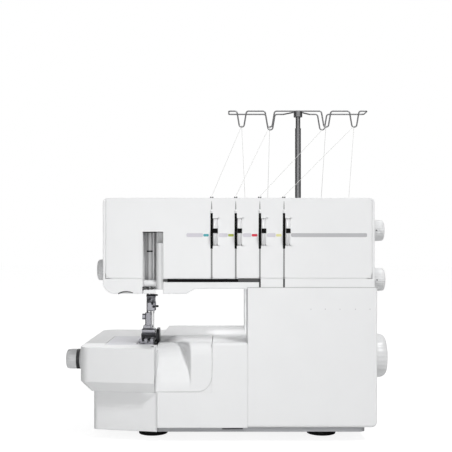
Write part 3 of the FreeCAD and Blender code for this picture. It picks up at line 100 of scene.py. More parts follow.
def power_property(name, description, default):
    """A lamp's power that a user would change, in watts."""
    return FloatProperty(name=name, description=description, default=default, unit="POWER")


class OverlockFinish(bpy.types.PropertyGroup):
    """Colours of the mouldings, metals, prints and threads."""

    casing: colour_property("Casing", "White of the moulded casings", (0.82, 0.825, 0.83))
    dial: colour_property("Dials", "White of the dials and the handwheel", (0.76, 0.765, 0.77))
    tray: colour_property("Tray", "Grey of the base tray", (0.36, 0.365, 0.38))
    # Also the colour of painted shade: the bush's gap, the base slot and the cutting-width dial's gap ring.
    black: colour_property("Black plastic", "Black of the slot linings and sockets", (0.012, 0.012, 0.013))
    rubber: colour_property("Rubber", "Black of the feet and the belt", (0.005, 0.005, 0.005))
    steel: colour_property("Steel", "Bright steel of rods and wires", (0.5, 0.5, 0.51))
    bar: colour_property("Bar steel", "Satin steel of the bar guard", (0.85, 0.85, 0.855))
    wire: colour_property("Wire", "Dull steel of the thread tree and its mast", (0.24, 0.24, 0.245))
    plate: colour_property("Plate", "Ground steel of the needle plate", (0.74, 0.74, 0.78))
    dark_steel: colour_property("Dark steel", "Blackened steel of the clamp and knives", (0.07, 0.07, 0.075))
    gunmetal: colour_property("Gunmetal", "Zinc castings of the clamp and the foot", (0.24, 0.24, 0.26))
    # Also the colour of the painted shade in the presser foot's gaps.
    blackened: colour_property("Blackened steel", "Screws and knives", (0.03, 0.03, 0.033))
    aluminium: colour_property("Castings", "Cast aluminium of the frames", (0.5, 0.51, 0.52))
    bronze: colour_property("Bronze", "Sintered bronze of the bushes", (0.45, 0.27, 0.1))
    motor: colour_property("Motor", "Paint of the motor", (0.08, 0.085, 0.09))
    thread: colour_property("Thread", "White of the threads and cones", (0.8, 0.8, 0.78))
    stripe_pale: colour_property("Pale stripe", "Printed stripe near the needles", (0.62, 0.6, 0.65))
    stripe_dark: colour_property("Dark stripe", "Printed stripe beyond the last wheel", (0.47, 0.47, 0.485))
    mark_1: colour_property("Mark 1", "Thread path mark of the left needle", (0.05, 0.36, 0.4))
    mark_2: colour_property("Mark 2", "Thread path mark of the right needle", (0.36, 0.42, 0.07))
    mark_3: colour_property("Mark 3", "Thread path mark of the upper looper", (0.62, 0.02, 0.05))
    mark_4: colour_property("Mark 4", "Thread path mark of the lower looper", (0.75, 0.72, 0.35))


class OverlockSizes(bpy.types.PropertyGroup):
    """Sizes of the details that only the looks hold."""

    edge: length_property("Edge round", "Softened radius along moulded edges", 1.2 * MM)
    print_lift: length_property("Print lift", "How far a print stands proud of its face", 0.06 * MM)
    stripe_height: length_property("Stripe height", "Height of the printed stripe", 3.9 * MM)
    stripe_z: length_property("Stripe level", "Height of the stripe's middle above the floor", 211.2 * MM)
    dial_ribs: count_property("Dial ribs", "Grip ribs round a side dial", 40)
    wheel_ribs: count_property("Wheel ribs", "Grip ribs round a thumbwheel", 72)
    grip_ribs: count_property("Handwheel ribs", "Finger flutes of the handwheel", 30)
    presser_lift: length_property("Presser lift", "How far the presser bar squeezes its spring", 5.5 * MM)


class OverlockStage(bpy.types.PropertyGroup):
    """The camera at the photograph's place, the floor and the lights."""

    camera_place: FloatVectorProperty(
        name="Camera", description="Where the camera stands", default=(-0.002, -0.915, 0.2022),
        subtype="TRANSLATION",
    )
    lens: FloatProperty(name="Lens", description="Focal length", default=62.04, min=10, unit="CAMERA")
    shift: FloatProperty(name="Shift", description="Upward shift of the lens", default=18 / 452)
    key_power: power_property("Key", "Power of the soft box at the right", 32)
    front_power: power_property("Front", "Power of the soft box beside the camera", 1.3)
    top_power: power_property("Top", "Power of the overhead soft box", 0.5)
    back_power: power_property("Back", "Power of the soft box behind", 2.0)
    throat_power: power_property("Throat", "Power of the strip in the throat", 0.014)
    sky: FloatProperty(name="Sky", description="Strength of the white room's light", default=0.24, min=0)


def finish():
    return bpy.context.scene.overlock_finish


def sizes():
    return bpy.context.scene.overlock_sizes


def stage():
    return bpy.context.scene.overlock_stage


class Value:
    """A shader socket whose sums and products add Math nodes."""

    def __init__(self, paint, socket):
        self.paint = paint
        self.socket = socket

    def math(self, operation, other):
        return self.paint.node("ShaderNodeMath", {"operation": operation}, {0: self, 1: other})

    def __add__(self, other):
        return self.math("ADD", other)

    def __mul__(self, other):
        return self.math("MULTIPLY", other)

    __radd__ = __add__
    __rmul__ = __mul__


class Paint:
    """One material: a Principled shader with constant sockets set on it, and the nodes that vary it."""

    def __init__(self, name, **constants):
        self.material = bpy.data.materials.new(name)
        self.material.use_nodes = True
        self.tree = self.material.node_tree
        self.shader = self.tree.nodes["Principled BSDF"]
        for socket, value in constants.items():
            self.set(socket.replace("_", " "), value)

    def node(self, kind, settings=None, sockets=None, output=0):
        """Add a node, set it up, feed its sockets and give one of its outputs."""
        made = self.tree.nodes.new(kind)
        for key, value in (settings or {}).items():
            setattr(made, key, value)
        for key, value in (sockets or {}).items():
            self.feed(made.inputs[key], value)
        return Value(self, made.outputs[output])

    def feed(self, socket, value):
        if isinstance(value, Value):
            self.tree.links.new(value.socket, socket)
        elif socket.type == "RGBA" and len(value) == 3:
            socket.default_value = (*value, 1)
        else:
            socket.default_value = value

    def set(self, socket, value):
        self.feed(self.shader.inputs[socket], value)
        return self

    def place(self):
        return self.node("ShaderNodeTexCoord", output="Object")

    def stretched(self, x, y, z):
        """Object coordinates scaled along each axis."""
        return self.node("ShaderNodeMapping", None, {"Vector": self.place(), "Scale": (x, y, z)})

    def noise(self, scale, detail=2.0, vector=None):
        sockets = {"Vector": vector or self.place(), "Scale": scale, "Detail": detail}
        return self.node("ShaderNodeTexNoise", None, sockets)

    def mix(self, factor, first, second):
        """A colour between two colours."""
        settings = {"data_type": "RGBA", "clamp_factor": True}
        return self.node("ShaderNodeMix", settings, {0: factor, 6: first, 7: second}, output=2)

    def soft_edges(self, radius):
        return self.node("ShaderNodeBevel", {"samples": 6}, {"Radius": radius})

    def bump(self, height, distance, strength=1.0, normal=None):
        sockets = {"Height": height, "Distance": distance, "Strength": strength}
        if normal:
            sockets["Normal"] = normal
        return self.set("Normal", self.node("ShaderNodeBump", None, sockets))

    def vary(self, colour, spread, scale=35.0):
        """The colour with a faint cloudiness, darker by the spread."""
        dark = [channel * (1 - spread) for channel in colour]
        return self.mix(self.noise(scale, 3.0), dark, list(colour))


def moulded(name, colour, roughness, grain=0.00002, edge=None):
    """Injection-moulded plastic: faint flow clouds, a fine orange peel and softened edges."""
    paint = Paint(name, IOR=1.49)
    paint.set("Base Color", paint.vary(colour, 0.035))
    paint.set("Roughness", paint.noise(120.0, 2.0) * 0.1 + (roughness - 0.05))
    paint.bump(paint.noise(900.0, 1.0), grain, 0.35, paint.soft_edges(edge or sizes().edge))
    return paint


def casing_white():
    return moulded("casing_white", finish().casing, 0.38)


def flush_white():
    """The casing's white on inserts that lie flush, without a softened rim."""
    found = bpy.data.materials.get("flush_white")
    return found or moulded("flush_white", finish().casing, 0.38, edge=0.05 * MM).material


def dial_white():
    return moulded("dial_white", finish().dial, 0.36, edge=0.5 * MM)


def tray_grey():
    """Spark-textured grey plastic."""
    return moulded("tray_grey", finish().tray, 0.55, grain=0.0001)


def black_plastic():
    return moulded("black_plastic", finish().black, 0.42, edge=0.4 * MM)


def black_rubber():
    """Matt rubber with a dusty bloom."""
    paint = Paint("black_rubber", IOR=1.45, Specular_IOR_Level=0.2)
    bloom = paint.noise(70.0, 5.0)
    paint.set("Base Color", paint.mix(bloom * 0.5, list(finish().rubber), (0.016, 0.016, 0.016)))
    paint.set("Roughness", bloom * 0.2 + 0.6)
    paint.bump(paint.noise(1500.0), 0.00008, 0.5, paint.soft_edges(1.0 * MM))
    return paint


def metal(name, colour, roughness, lines, edge=0.4 * MM, depth=0.00003):
    """Metal with fine working lines; lines gives their crowding along x, y and z."""
    paint = Paint(name, Metallic=1.0)
    grain = paint.noise(1.0, 3.0, paint.stretched(*lines))
    dark = [channel * 0.8 for channel in colour]
    paint.set("Base Color", paint.mix(grain, dark, list(colour)))
    paint.set("Roughness", grain * 0.18 + (roughness - 0.09))
    paint.bump(grain, depth, 0.3, paint.soft_edges(edge))
    return paint


def bright_steel():
    return metal("bright_steel", finish().steel, 0.16, (2500, 2500, 60), depth=0.00001)


def plate_steel():
    """Ground steel with a dull nickel wash."""
    return metal("plate_steel", finish().plate, 0.5, (3000, 60, 60), edge=0.3 * MM).set("Metallic", 0.35)


def dark_steel():
    return metal("dark_steel", finish().dark_steel, 0.34, (700, 700, 700))


def cast_frame():
    return metal("cast_frame", finish().aluminium, 0.5, (900, 900, 900), edge=1.0 * MM, depth=0.0002)


def bronze():
    return metal("bronze", finish().bronze, 0.42, (1800, 1800, 1800))


def motor_paint():
    """Hammered enamel on the motor's shell."""
    paint = Paint("motor_paint", Metallic=0.3)
    sockets = {"Vector": paint.place(), "Scale": 500.0}
    dimple = paint.node("ShaderNodeTexVoronoi", {"feature": "SMOOTH_F1"}, sockets)
    paint.set("Base Color", paint.vary(finish().motor, 0.2, 60.0))
    paint.set("Roughness", dimple * 0.15 + 0.35)
    paint.bump(dimple, 0.0001, 0.4, paint.soft_edges(0.6 * MM))
    return paint


def wound_thread():
    """Cross-wound spun thread: two sets of fine slanting turns, a soft fuzz and a sheen."""
    paint = Paint("wound_thread", Sheen_Weight=0.35, Sheen_Roughness=0.5)
    settings = {"wave_type": "BANDS", "bands_direction": "Z"}
    wave = {"Scale": 420.0, "Distortion": 1.2, "Detail": 2.0, "Detail Scale": 30.0}
    turns = []
    for tilt in (0.16, -0.16):
        slant = {"Vector": paint.place(), "Rotation": (tilt, tilt, 0)}
        slanted = paint.node("ShaderNodeMapping", None, slant)
        turns.append(paint.node("ShaderNodeTexWave", settings, {"Vector": slanted, **wave}))
    lay = (turns[0] + turns[1]) * 0.5
    # Painted shade: the colour darkens into the troughs of the wound turns, where the bump is low.
    shade = [channel * 0.82 for channel in finish().thread]
    paint.set("Base Color", paint.mix(lay, shade, list(finish().thread)))
    paint.set("Roughness", paint.noise(300.0) * 0.15 + 0.7)
    paint.bump(lay, 0.0003, 0.6)
    return paint


def lens_clear():
    """Frosted lamp cover."""
    paint = Paint("lens_clear", Transmission_Weight=0.6, IOR=1.49)
    paint.set("Base Color", paint.vary((0.86, 0.88, 0.9), 0.05))
    paint.set("Roughness", paint.noise(400.0) * 0.1 + 0.3)
    paint.bump(paint.noise(1200.0), 0.00005, 0.4, paint.soft_edges(0.5 * MM))
    return paint


def printed(name, colour):
    """Pad-printed ink with a slightly uneven film."""
    paint = Paint(name, IOR=1.48)
    film = paint.noise(900.0, 3.0)
    paint.set("Base Color", paint.vary(colour, 0.06, 500.0))
    paint.set("Roughness", film * 0.1 + 0.38)
    paint.bump(film, 0.00001, 0.3)
    return paint


SLOT_FINISHES = {
    "white_gloss": casing_white,
    "white_dial": dial_white,
    "grey_plastic": tray_grey,
    "dark_plastic": black_plastic,
    "rubber_black": black_rubber,
    "plate_steel": plate_steel,
    "bright_steel": bright_steel,
    "dark_steel": dark_steel,
    "cast_frame": cast_frame,
    "bronze": bronze,
    "motor_steel": motor_paint,
    "thread_white": wound_thread,
    "lens_clear": lens_clear,
}


def material(name):
    """A slot's finished material, made on first use."""
    found = bpy.data.materials.get(f"overlock_{name}")
    if found is None:
        found = SLOT_FINISHES[name]().material
        found.name = f"overlock_{name}"
    return found


def coat(piece, *materials):
    """Give a piece these materials in place of what it has."""
    piece.data.materials.clear()
    for item in materials:
        piece.data.materials.append(item)


def mm(*values):
    """A point given in millimetres."""
    return Vector(values) * MM


def object_from(name, mesh, *materials):
    """Turn a bmesh into an object of the scene with these materials."""
    data = bpy.data.meshes.new(name)
    mesh.to_mesh(data)
    mesh.free()
    made = bpy.data.objects.new(name, data)
    bpy.context.scene.collection.objects.link(made)
    coat(made, *materials)
    return made


def piece_from(name, mesh, body, *materials):
    """Turn a bmesh into a finished object that rides on a body."""
    bmesh.ops.remove_doubles(mesh, verts=mesh.verts, dist=WELD)
    bmesh.ops.recalc_face_normals(mesh, faces=mesh.faces)
    made = object_from(name, mesh, *materials)
    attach(made, body)
    return made


def stand_in(node):
    """Hide a node of the frame, whose place a piece takes."""
    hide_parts(node)


def smooth(piece, angle=40):
    """Smooth the shading except across edges sharper than the angle."""
    piece.data.shade_smooth()
    piece.data.set_sharp_from_angle(angle=math.radians(angle))
    return piece


def tile(mesh, low, high, corner=0.0, axis=1, segments=6):
    """A box in millimetres whose corners are rounded about one axis."""
    low, high = mm(*low), mm(*high)
    scale = Matrix.Diagonal((*(high - low), 1))
    made = bmesh.ops.create_cube(mesh, size=1, matrix=Matrix.Translation((low + high) / 2) @ scale)
    if corner:
        edges = {edge for vert in made["verts"] for edge in vert.link_edges}
        along = [
            edge for edge in edges
            if abs((edge.verts[0].co - edge.verts[1].co).normalized()[axis]) > 0.9
        ]
        bmesh.ops.bevel(
            mesh, geom=along, offset=corner * MM, segments=segments, profile=0.5, affect="EDGES",
            material=-1,
        )


def tiles(name, body, paint, boxes):
    """A piece made of boxes, each given as the values of a tile."""
    mesh = bmesh.new()
    for box in boxes:
        tile(mesh, *box)
    return piece_from(name, mesh, body, paint)


def slab(mesh, points, thickness):
    """A flat outline of points in millimetres, grown along a thickness in millimetres."""
    face = mesh.faces.new([mesh.verts.new(mm(*point)) for point in points])
    grown = bmesh.ops.extrude_face_region(mesh, geom=[face])
    moved = [item for item in grown["geom"] if isinstance(item, bmesh.types.BMVert)]
    bmesh.ops.translate(mesh, verts=moved, vec=mm(*thickness))


# The direction of each turning axis, and the side of it where a profile is drawn
TURNING_AXES = {
    "X": (Vector((1, 0, 0)), Vector((0, 0, 1))),
    "Y": (Vector((0, 1, 0)), Vector((0, 0, 1))),
    "Z": (Vector((0, 0, 1)), Vector((1, 0, 0))),
}


def turned(mesh, outline, centre, axis="X", steps=96, unit=MM):
    """A profile of (along, radius) points spun once about an axis through a centre."""
    along, across = TURNING_AXES[axis]
    verts = [
        mesh.verts.new(centre + along * (place * unit) + across * (radius * unit))
        for place, radius in outline
    ]
    edges = [mesh.edges.new(pair) for pair in zip(verts, verts[1:])]
    bmesh.ops.spin(
        mesh, geom=verts + edges, cent=centre, axis=along, angle=math.tau, steps=steps, use_merge=True
    )


class OVERLOCK_OT_finish_nodes(bpy.types.Operator):
    """Give every piece of the frame the finish of its slot."""

    bl_idname = "overlock.finish_nodes"
    bl_label = "Finish the frame's pieces"
    bl_options = {"REGISTER", "UNDO"}

    def execute(self, context):
        for part in frame["record"]["subparts"]:
            coat(frame["nodes"][part["node"]], material(part["material_slot"]))
        wire = metal("wire_steel", finish().wire, 0.42, (600, 600, 600))
        for node in ("thread_tree", "mast_rod", "mast_tube"):
            coat(frame["nodes"][node], wire.material)
        coat(frame["nodes"]["plate_screws"], material("plate_steel"))
        return {"FINISHED"}


THREAD_THICKNESS = 0.4 * MM
# Each thread's route in millimetres: up from its cone, over a dip of the tree and down to its guide
THREAD_ROUTES = {
    "thread_1": (
        (22.5, 70, 250.3), (17.62, 55.97, 346.88), (17.5, 55.62, 349.25),
        (17.5, 52.38, 349.25), (17.09, 50.33, 348.07), (-16.6, -119, 250.74),
    ),
    "thread_2": (
        (52.5, 110, 250.3), (52.5, 56.78, 347.15), (52.5, 55.62, 349.25),
        (52.5, 52.38, 349.25), (51.97, 50.35, 348.08), (7.9, -119, 250.74),
    ),
    "thread_3": (
        (122.5, 110, 250.3), (122.5, 56.78, 347.15), (122.5, 55.62, 349.25),
        (122.5, 52.38, 349.25), (121.5, 50.49, 348.16), (32.4, -119, 250.74),
    ),
    "thread_4": (
        (152.5, 70, 250.3), (157.38, 55.97, 346.88), (157.5, 55.62, 349.25),
        (157.5, 52.38, 349.25), (156.41, 50.53, 348.18), (56.9, -119, 250.74),
    ),
}


class OVERLOCK_OT_threads(bpy.types.Operator):
    """Lead four threads from their cones over the wire tree to the guides on the head."""

    bl_idname = "overlock.threads"
    bl_label = "Threads"
    bl_options = {"REGISTER", "UNDO"}

    def execute(self, context):
        for name, route in THREAD_ROUTES.items():
            self.lay(name, [Vector(point) * MM for point in route])
        return {"FINISHED"}

    def lay(self, name, points):
        """A thread as a tube along its route."""
        curve = bpy.data.curves.new(f"{name}_route", "CURVE")
        curve.dimensions = "3D"
        curve.resolution_u = 24
        line = curve.splines.new("NURBS")
        line.points.add(len(points) - 1)
        for knot, point in zip(line.points, points):
            knot.co = (*point, 1)
        line.order_u = 3
        line.use_endpoint_u = True
        route = bpy.data.objects.new(f"{name}_route", curve)
        centreline = bpy.data.meshes.new_from_object(route)
        bpy.data.meshes.remove(centreline)
        curve.bevel_depth = THREAD_THICKNESS / 2
        curve.bevel_resolution = 2
        curve.use_fill_caps = True
        cord = bpy.data.objects.new(f"{name}_line", bpy.data.meshes.new_from_object(route))
        bpy.data.objects.remove(route)
        bpy.context.scene.collection.objects.link(cord)
        coat(cord, material("thread_white"))
        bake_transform(cord)
        stand_in(name)


def flat_print(name, spans, corner, ink):
    """Thin prints on the front face: each span is its left, right, low and high edge in millimetres."""
    lift = sizes().print_lift / MM
    tiles(name, ROOT, ink, [
        ((left, FRONT - lift, low), (right, FRONT + 0.3, high), corner) for left, right, low, high in spans
    ])


def slot_dark():
    """Painted shade for the unlit depth of the slots and the thread channel, and the black of the index bars:
    matt, with next to no shine.
    """
    paint = Paint("slot_dark", Specular_IOR_Level=0.08)
    paint.set("Base Color", paint.vary((0.006, 0.006, 0.006), 0.3, 200.0))
    paint.set("Roughness", paint.noise(300.0) * 0.1 + 0.8)
    return paint


# The stripe's runs between the slots as (left, right), the thread marks' left edges and the middles
# of the column's dots, in millimetres
STRIPES = {
    "pale": ((-42.2, -25.4), (-9.2, -0.2), (15.2, 23.9), (39.9, 48.4)),
    "dark": ((64.2, 141.2),),
}
MARK_LEFTS = (-25.0, 0.2, 24.2, 48.8)
DOT_XS = (84.3, 98.8, 113.8, 129.5, 144.2)


class OVERLOCK_OT_panel_print(bpy.types.Operator):
    """Print the grey stripe, the four thread marks and the column's small dots."""

    bl_idname = "overlock.panel_print"
    bl_label = "Panel prints"
    bl_options = {"REGISTER", "UNDO"}

    def execute(self, context):
        middle = sizes().stripe_z / MM
        half = sizes().stripe_height / MM / 2
        for tone, runs in STRIPES.items():
            ink = printed(f"stripe_ink_{tone}", getattr(finish(), f"stripe_{tone}")).material
            spans = [(left, right, middle - half, middle + half) for left, right in runs]
            flat_print(f"stripe_{tone}", spans, 1.2, ink)
        for number, left in enumerate(MARK_LEFTS, 1):
            ink = printed(f"mark_ink_{number}", getattr(finish(), f"mark_{number}")).material
            mark = (left, left + 5.6, middle - 1.4, middle + 1.2)
            flat_print(f"thread_mark_{number}", [mark], 0.9, ink)
        dots = [(x - 0.45, x + 0.45, 135.6, 136.5) for x in DOT_XS]
        flat_print("column_dots", dots, 0.4, printed("dot_ink", (0.45, 0.45, 0.46)).material)
        seam_ink = printed("seam_ink", (0.42, 0.42, 0.42)).material
        flat_print("column_seam", [(19.6, 151.4, 157.7, 158.2)], 0, seam_ink)
        self.lamp_rim()
        return {"FINISHED"}

    def lamp_rim(self):
        """Painted shadow: a dark arched sheet on the front face that stands in for the shade of the lamp's
        cut-out below the head.
        """
        mesh = bmesh.new()
        y = FRONT - 0.05
        arch = (
            (-111.8, 152.0), (-109.5, 153.4), (-106.5, 154.2), (-103, 154.4), (-99.5, 154.0), (-96.2, 153.0),
            (-96.6, 152.4), (-99.8, 152.7), (-103, 152.9), (-106.4, 152.7), (-109.2, 152.0), (-111.4, 151.0),
        )
        slab(mesh, [(x, y, z) for x, z in arch], (0, 0.3, 0))
        grey = moulded("lamp_grey", (0.07, 0.07, 0.07), 0.6, edge=0.1 * MM).material
        piece_from("lamp_rim", mesh, ROOT, grey)


class OVERLOCK_OT_thread_slots(bpy.types.Operator):
    """Line the lay-in slots with painted shade and painted grey grooves, close the windows round the
    thumbwheels and paint the thread channel's shade as dark strips.
    """

    bl_idname = "overlock.thread_slots"
    bl_label = "Thread slots"
    bl_options = {"REGISTER", "UNDO"}

    def execute(self, context):
        white = flush_white()
        void = slot_dark().material
        groove = moulded("groove_grey", (0.27, 0.27, 0.272), 0.55, edge=0.2 * MM).material
        shade = moulded("groove_shade", (0.055, 0.055, 0.056), 0.6, edge=0.2 * MM).material
        xs = SLOT_XS
        # Painted shade: dark strips stand in for the slots' unlit depth; grey and darker strips stand in for
        # the shade of their lower grooves and ends.
        self.strips("slot_voids", [(x - 1.2, x + 1.25, 197.4, 233.6) for x in xs], 0.4, 3.0, void)
        self.strips("slot_fills", [(x - 2.5, x + 2.5, 168.6, 197.4) for x in xs], -0.03, 1.0, white)
        self.strips("slot_grooves", [(x - 0.85, x + 0.85, 166.9, 197.4) for x in xs], -0.06, 1.0, groove)
        self.strips("slot_ends", [(x - 0.95, x + 0.95, 158.2, 167.0) for x in xs[2:]], -0.06, 0.4, shade)
        self.strips("slot_tops", [(x - 2.5, x + 2.5, 233.6, 245.4) for x in xs], -0.03, 1.0, white)
        sides = ((1.25, 228.2, 234.4), (1.25, 194.4, 200.6), (6.35, 200, 229))
        closers = [(x + left, x + 8.2, low, high) for left, low, high in sides for x in xs]
        self.strips("window_closers", closers, -0.04, 0.3, white)
        # Painted shade: dark strips stand in for the shade in the thread channel and at its ends.
        self.strips("channel_void", [(-61.5, 10.4, 163.5, 166.8)], -0.05, 2.0, void)
        ends = [(10.4, 32.2, 163.5, 167.3), (-66.0, -61.5, 164.1, 166.4)]
        self.strips("channel_grey", ends, -0.06, 2.0, shade)
        self.seam_fill(white)
        self.needle_thin_tops(groove)
        self.beads(white)
        return {"FINISHED"}

    def seam_fill(self, white):
        """Close the panel's seam: flush along the top, a hair sunk at the sides and below."""
        self.strips("seam_top", [(-123.6, 145.6, 244.6, 247.6)], -0.04, 1.0, white)
        sunk = [
            (-124.6, -87.4, 166.8, 167.5), (-66.0, 146.6, 166.8, 167.5), (-124.6, -124.0, 167.0, 246.6),
            (146.0, 146.6, 167.0, 246.6), (-124.6, -119.0, 166.8, 173.0), (141.0, 146.6, 166.8, 173.0),
        ]
        self.strips("seam_sides", sunk, 0.22, 2.0, white)

    def strips(self, name, spans, sunk, deep, paint):
        """Flat bars let into the front face: how far they are sunk and how deep they go."""
        front, back, corner, axis, segments = FRONT + sunk, FRONT + sunk + deep, 0.3, 1, 2
        tiles(name, ROOT, paint, [
            ((left, front, low), (right, back, high), corner, axis, segments)
            for left, right, low, high in spans
        ])

    def needle_thin_tops(self, grey):
        """Painted shade: the slots run out upwards as hair-thin grey tapers printed on the front face."""
        mesh = bmesh.new()
        half = ((0.6, 237.4), (0.42, 242.4), (0.12, 246.0))
        taper = [(-0.6, 237.4), *half, *((-across, z) for across, z in half[:0:-1])]
        for x in SLOT_XS:
            slab(mesh, [(x + across, FRONT - 0.09, z) for across, z in taper], (0, 0.3, 0))
        piece_from("slot_tapers", mesh, ROOT, grey)

    def beads(self, white):
        """A white guide pin crosses each slot above its thumbwheel."""
        mesh = bmesh.new()
        for x in SLOT_XS:
            place = Matrix.Translation(mm(x, FRONT + 0.2, 235.7))
            bmesh.ops.create_uvsphere(mesh, u_segments=20, v_segments=12, radius=1.35 * MM, matrix=place)
        smooth(piece_from("slot_beads", mesh, ROOT, white))


# The thumbwheels' common axle as (y, z), and the rim of a wheel as (along, radius), in millimetres
AXLE_Y, AXLE_Z = -112, 214.4
WHEEL_RIM = (
    (1.5, 2.2), (1.5, 16.6), (1.9, 17.5), (2.5, 17.95), (3.4, 17.6), (4.3, 17.6), (5.2, 17.95),
    (5.8, 17.5), (6.2, 16.6), (6.2, 2.2), (1.5, 2.2),
)


class OVERLOCK_OT_tension_wheels(bpy.types.Operator):
    """Make the four thumbwheels with fine ribs and a black index bar."""

    bl_idname = "overlock.tension_wheels"
    bl_label = "Thumbwheels"
    bl_options = {"REGISTER", "UNDO"}

    def execute(self, context):
        white = moulded("thumbwheel_white", finish().dial, 0.36, edge=0.3 * MM).material
        for number, slot_x in enumerate(SLOT_XS, 1):
            body = f"tension_dial_{number}"
            wheel = self.wheel(f"tension_wheel_{number}", slot_x, body, white)
            stand_in(body)
            self.index_bar(f"tension_index_{number}", slot_x, body)
        return {"FINISHED"}

    def index_bar(self, name, slot_x, body):
        """A black bar let into the rim, from the wheel's middle a little upwards."""
        mesh = bmesh.new()
        rows = []
        for radius, side in ((17.4, 1.5), (18.05, 1.5), (18.05, 6.25), (17.4, 6.25)):
            rows.append([
                mesh.verts.new(
                    mm(slot_x + side, AXLE_Y - radius * math.cos(turn), AXLE_Z + radius * math.sin(turn))
                )
                for turn in (math.radians(-4 + step * 3) for step in range(6))
            ])
        for first, second in zip(rows, (*rows[1:], rows[0])):
            for pair, other in zip(zip(first, first[1:]), zip(second, second[1:])):
                mesh.faces.new((*pair, *reversed(other)))
        for end in (0, -1):
            mesh.faces.new([row[end] for row in rows])
        piece_from(name, mesh, body, slot_dark().material)

    def wheel(self, name, slot_x, body, white):
        mesh = bmesh.new()
        turned(mesh, WHEEL_RIM, mm(slot_x, AXLE_Y, AXLE_Z), steps=sizes().wheel_ribs * 2)
        self.cut_ribs(mesh)
        return smooth(piece_from(name, mesh, body, white), 55)

    def cut_ribs(self, mesh):
        """Press every second rim point inwards, which leaves fine ribs along the axis."""
        step = math.tau / (sizes().wheel_ribs * 2)
        for vert in mesh.verts:
            across = vert.co - Vector((vert.co.x, AXLE_Y * MM, AXLE_Z * MM))
            if across.length > 17.0 * MM and round(math.atan2(across.z, across.y) / step) % 2:
                vert.co -= across.normalized() * 0.22 * MM


# The hinged door's raised half and its scoop as matching stations of (depth behind the front, height),
# in millimetres
DOOR_RAISED = (
    (0, 51.8), (0, 57), (0, 62), (0, 67), (0, 72), (0, 77), (0, 82), (0, 86), (0, 90), (0.5, 95), (2.2, 98.6),
    (5, 101), (8.5, 102), (16, 102), (28, 102), (40, 102), (50, 102), (55.5, 102), (57.5, 102),
    (59.2, 102), (60.6, 102),
)
DOOR_SCOOP = (
    (0, 51.8), (0.1, 57), (0.5, 62), (1.3, 67), (2.6, 72), (4.5, 77), (7.3, 82), (10.2, 86), (14.2, 90),
    (18.6, 93), (23, 95), (27.5, 96.2), (32, 96.9), (37, 97), (42, 97), (48, 97), (53, 97.1), (56, 97.9),
    (57.6, 99.6), (59.2, 101.6), (60.6, 102),
)
# Where the scoop's floor ends and where the raised half begins, as (depth, x)
FLOOR_EDGE = (
    (0, -38.2), (2.6, -40.4), (7.3, -42.2), (12, -44), (18.6, -47), (23, -50.4), (27.5, -54.2), (37, -61),
    (48, -68), (60.6, -74),
)
RAISED_EDGE = (
    (0, -37.5), (9, -38.8), (16, -41.2), (28, -43.6), (40, -45.8), (50, -48.6), (57.5, -52.4), (60.6, -56),
)


def along_line(stations, place):
    """The second number of a line of stations where the first one is at a place."""
    for (low, start), (high, end) in zip(stations, stations[1:]):
        if place <= high:
            return start + (end - start) * (place - low) / (high - low)
    return stations[-1][1]


def between(stations, share):
    """A point a share of the way along stations, counted by station."""
    index = min(int(share * (len(stations) - 1)), len(stations) - 2)
    part = share * (len(stations) - 1) - index
    return [first + (second - first) * part for first, second in zip(stations[index], stations[index + 1])]


# The door's sides, and the middle of its rounded lower right corner, in millimetres
DOOR_LEFT, DOOR_RIGHT = -73.9, -16.4
CORNER_X, CORNER_Z = -32.4, 68


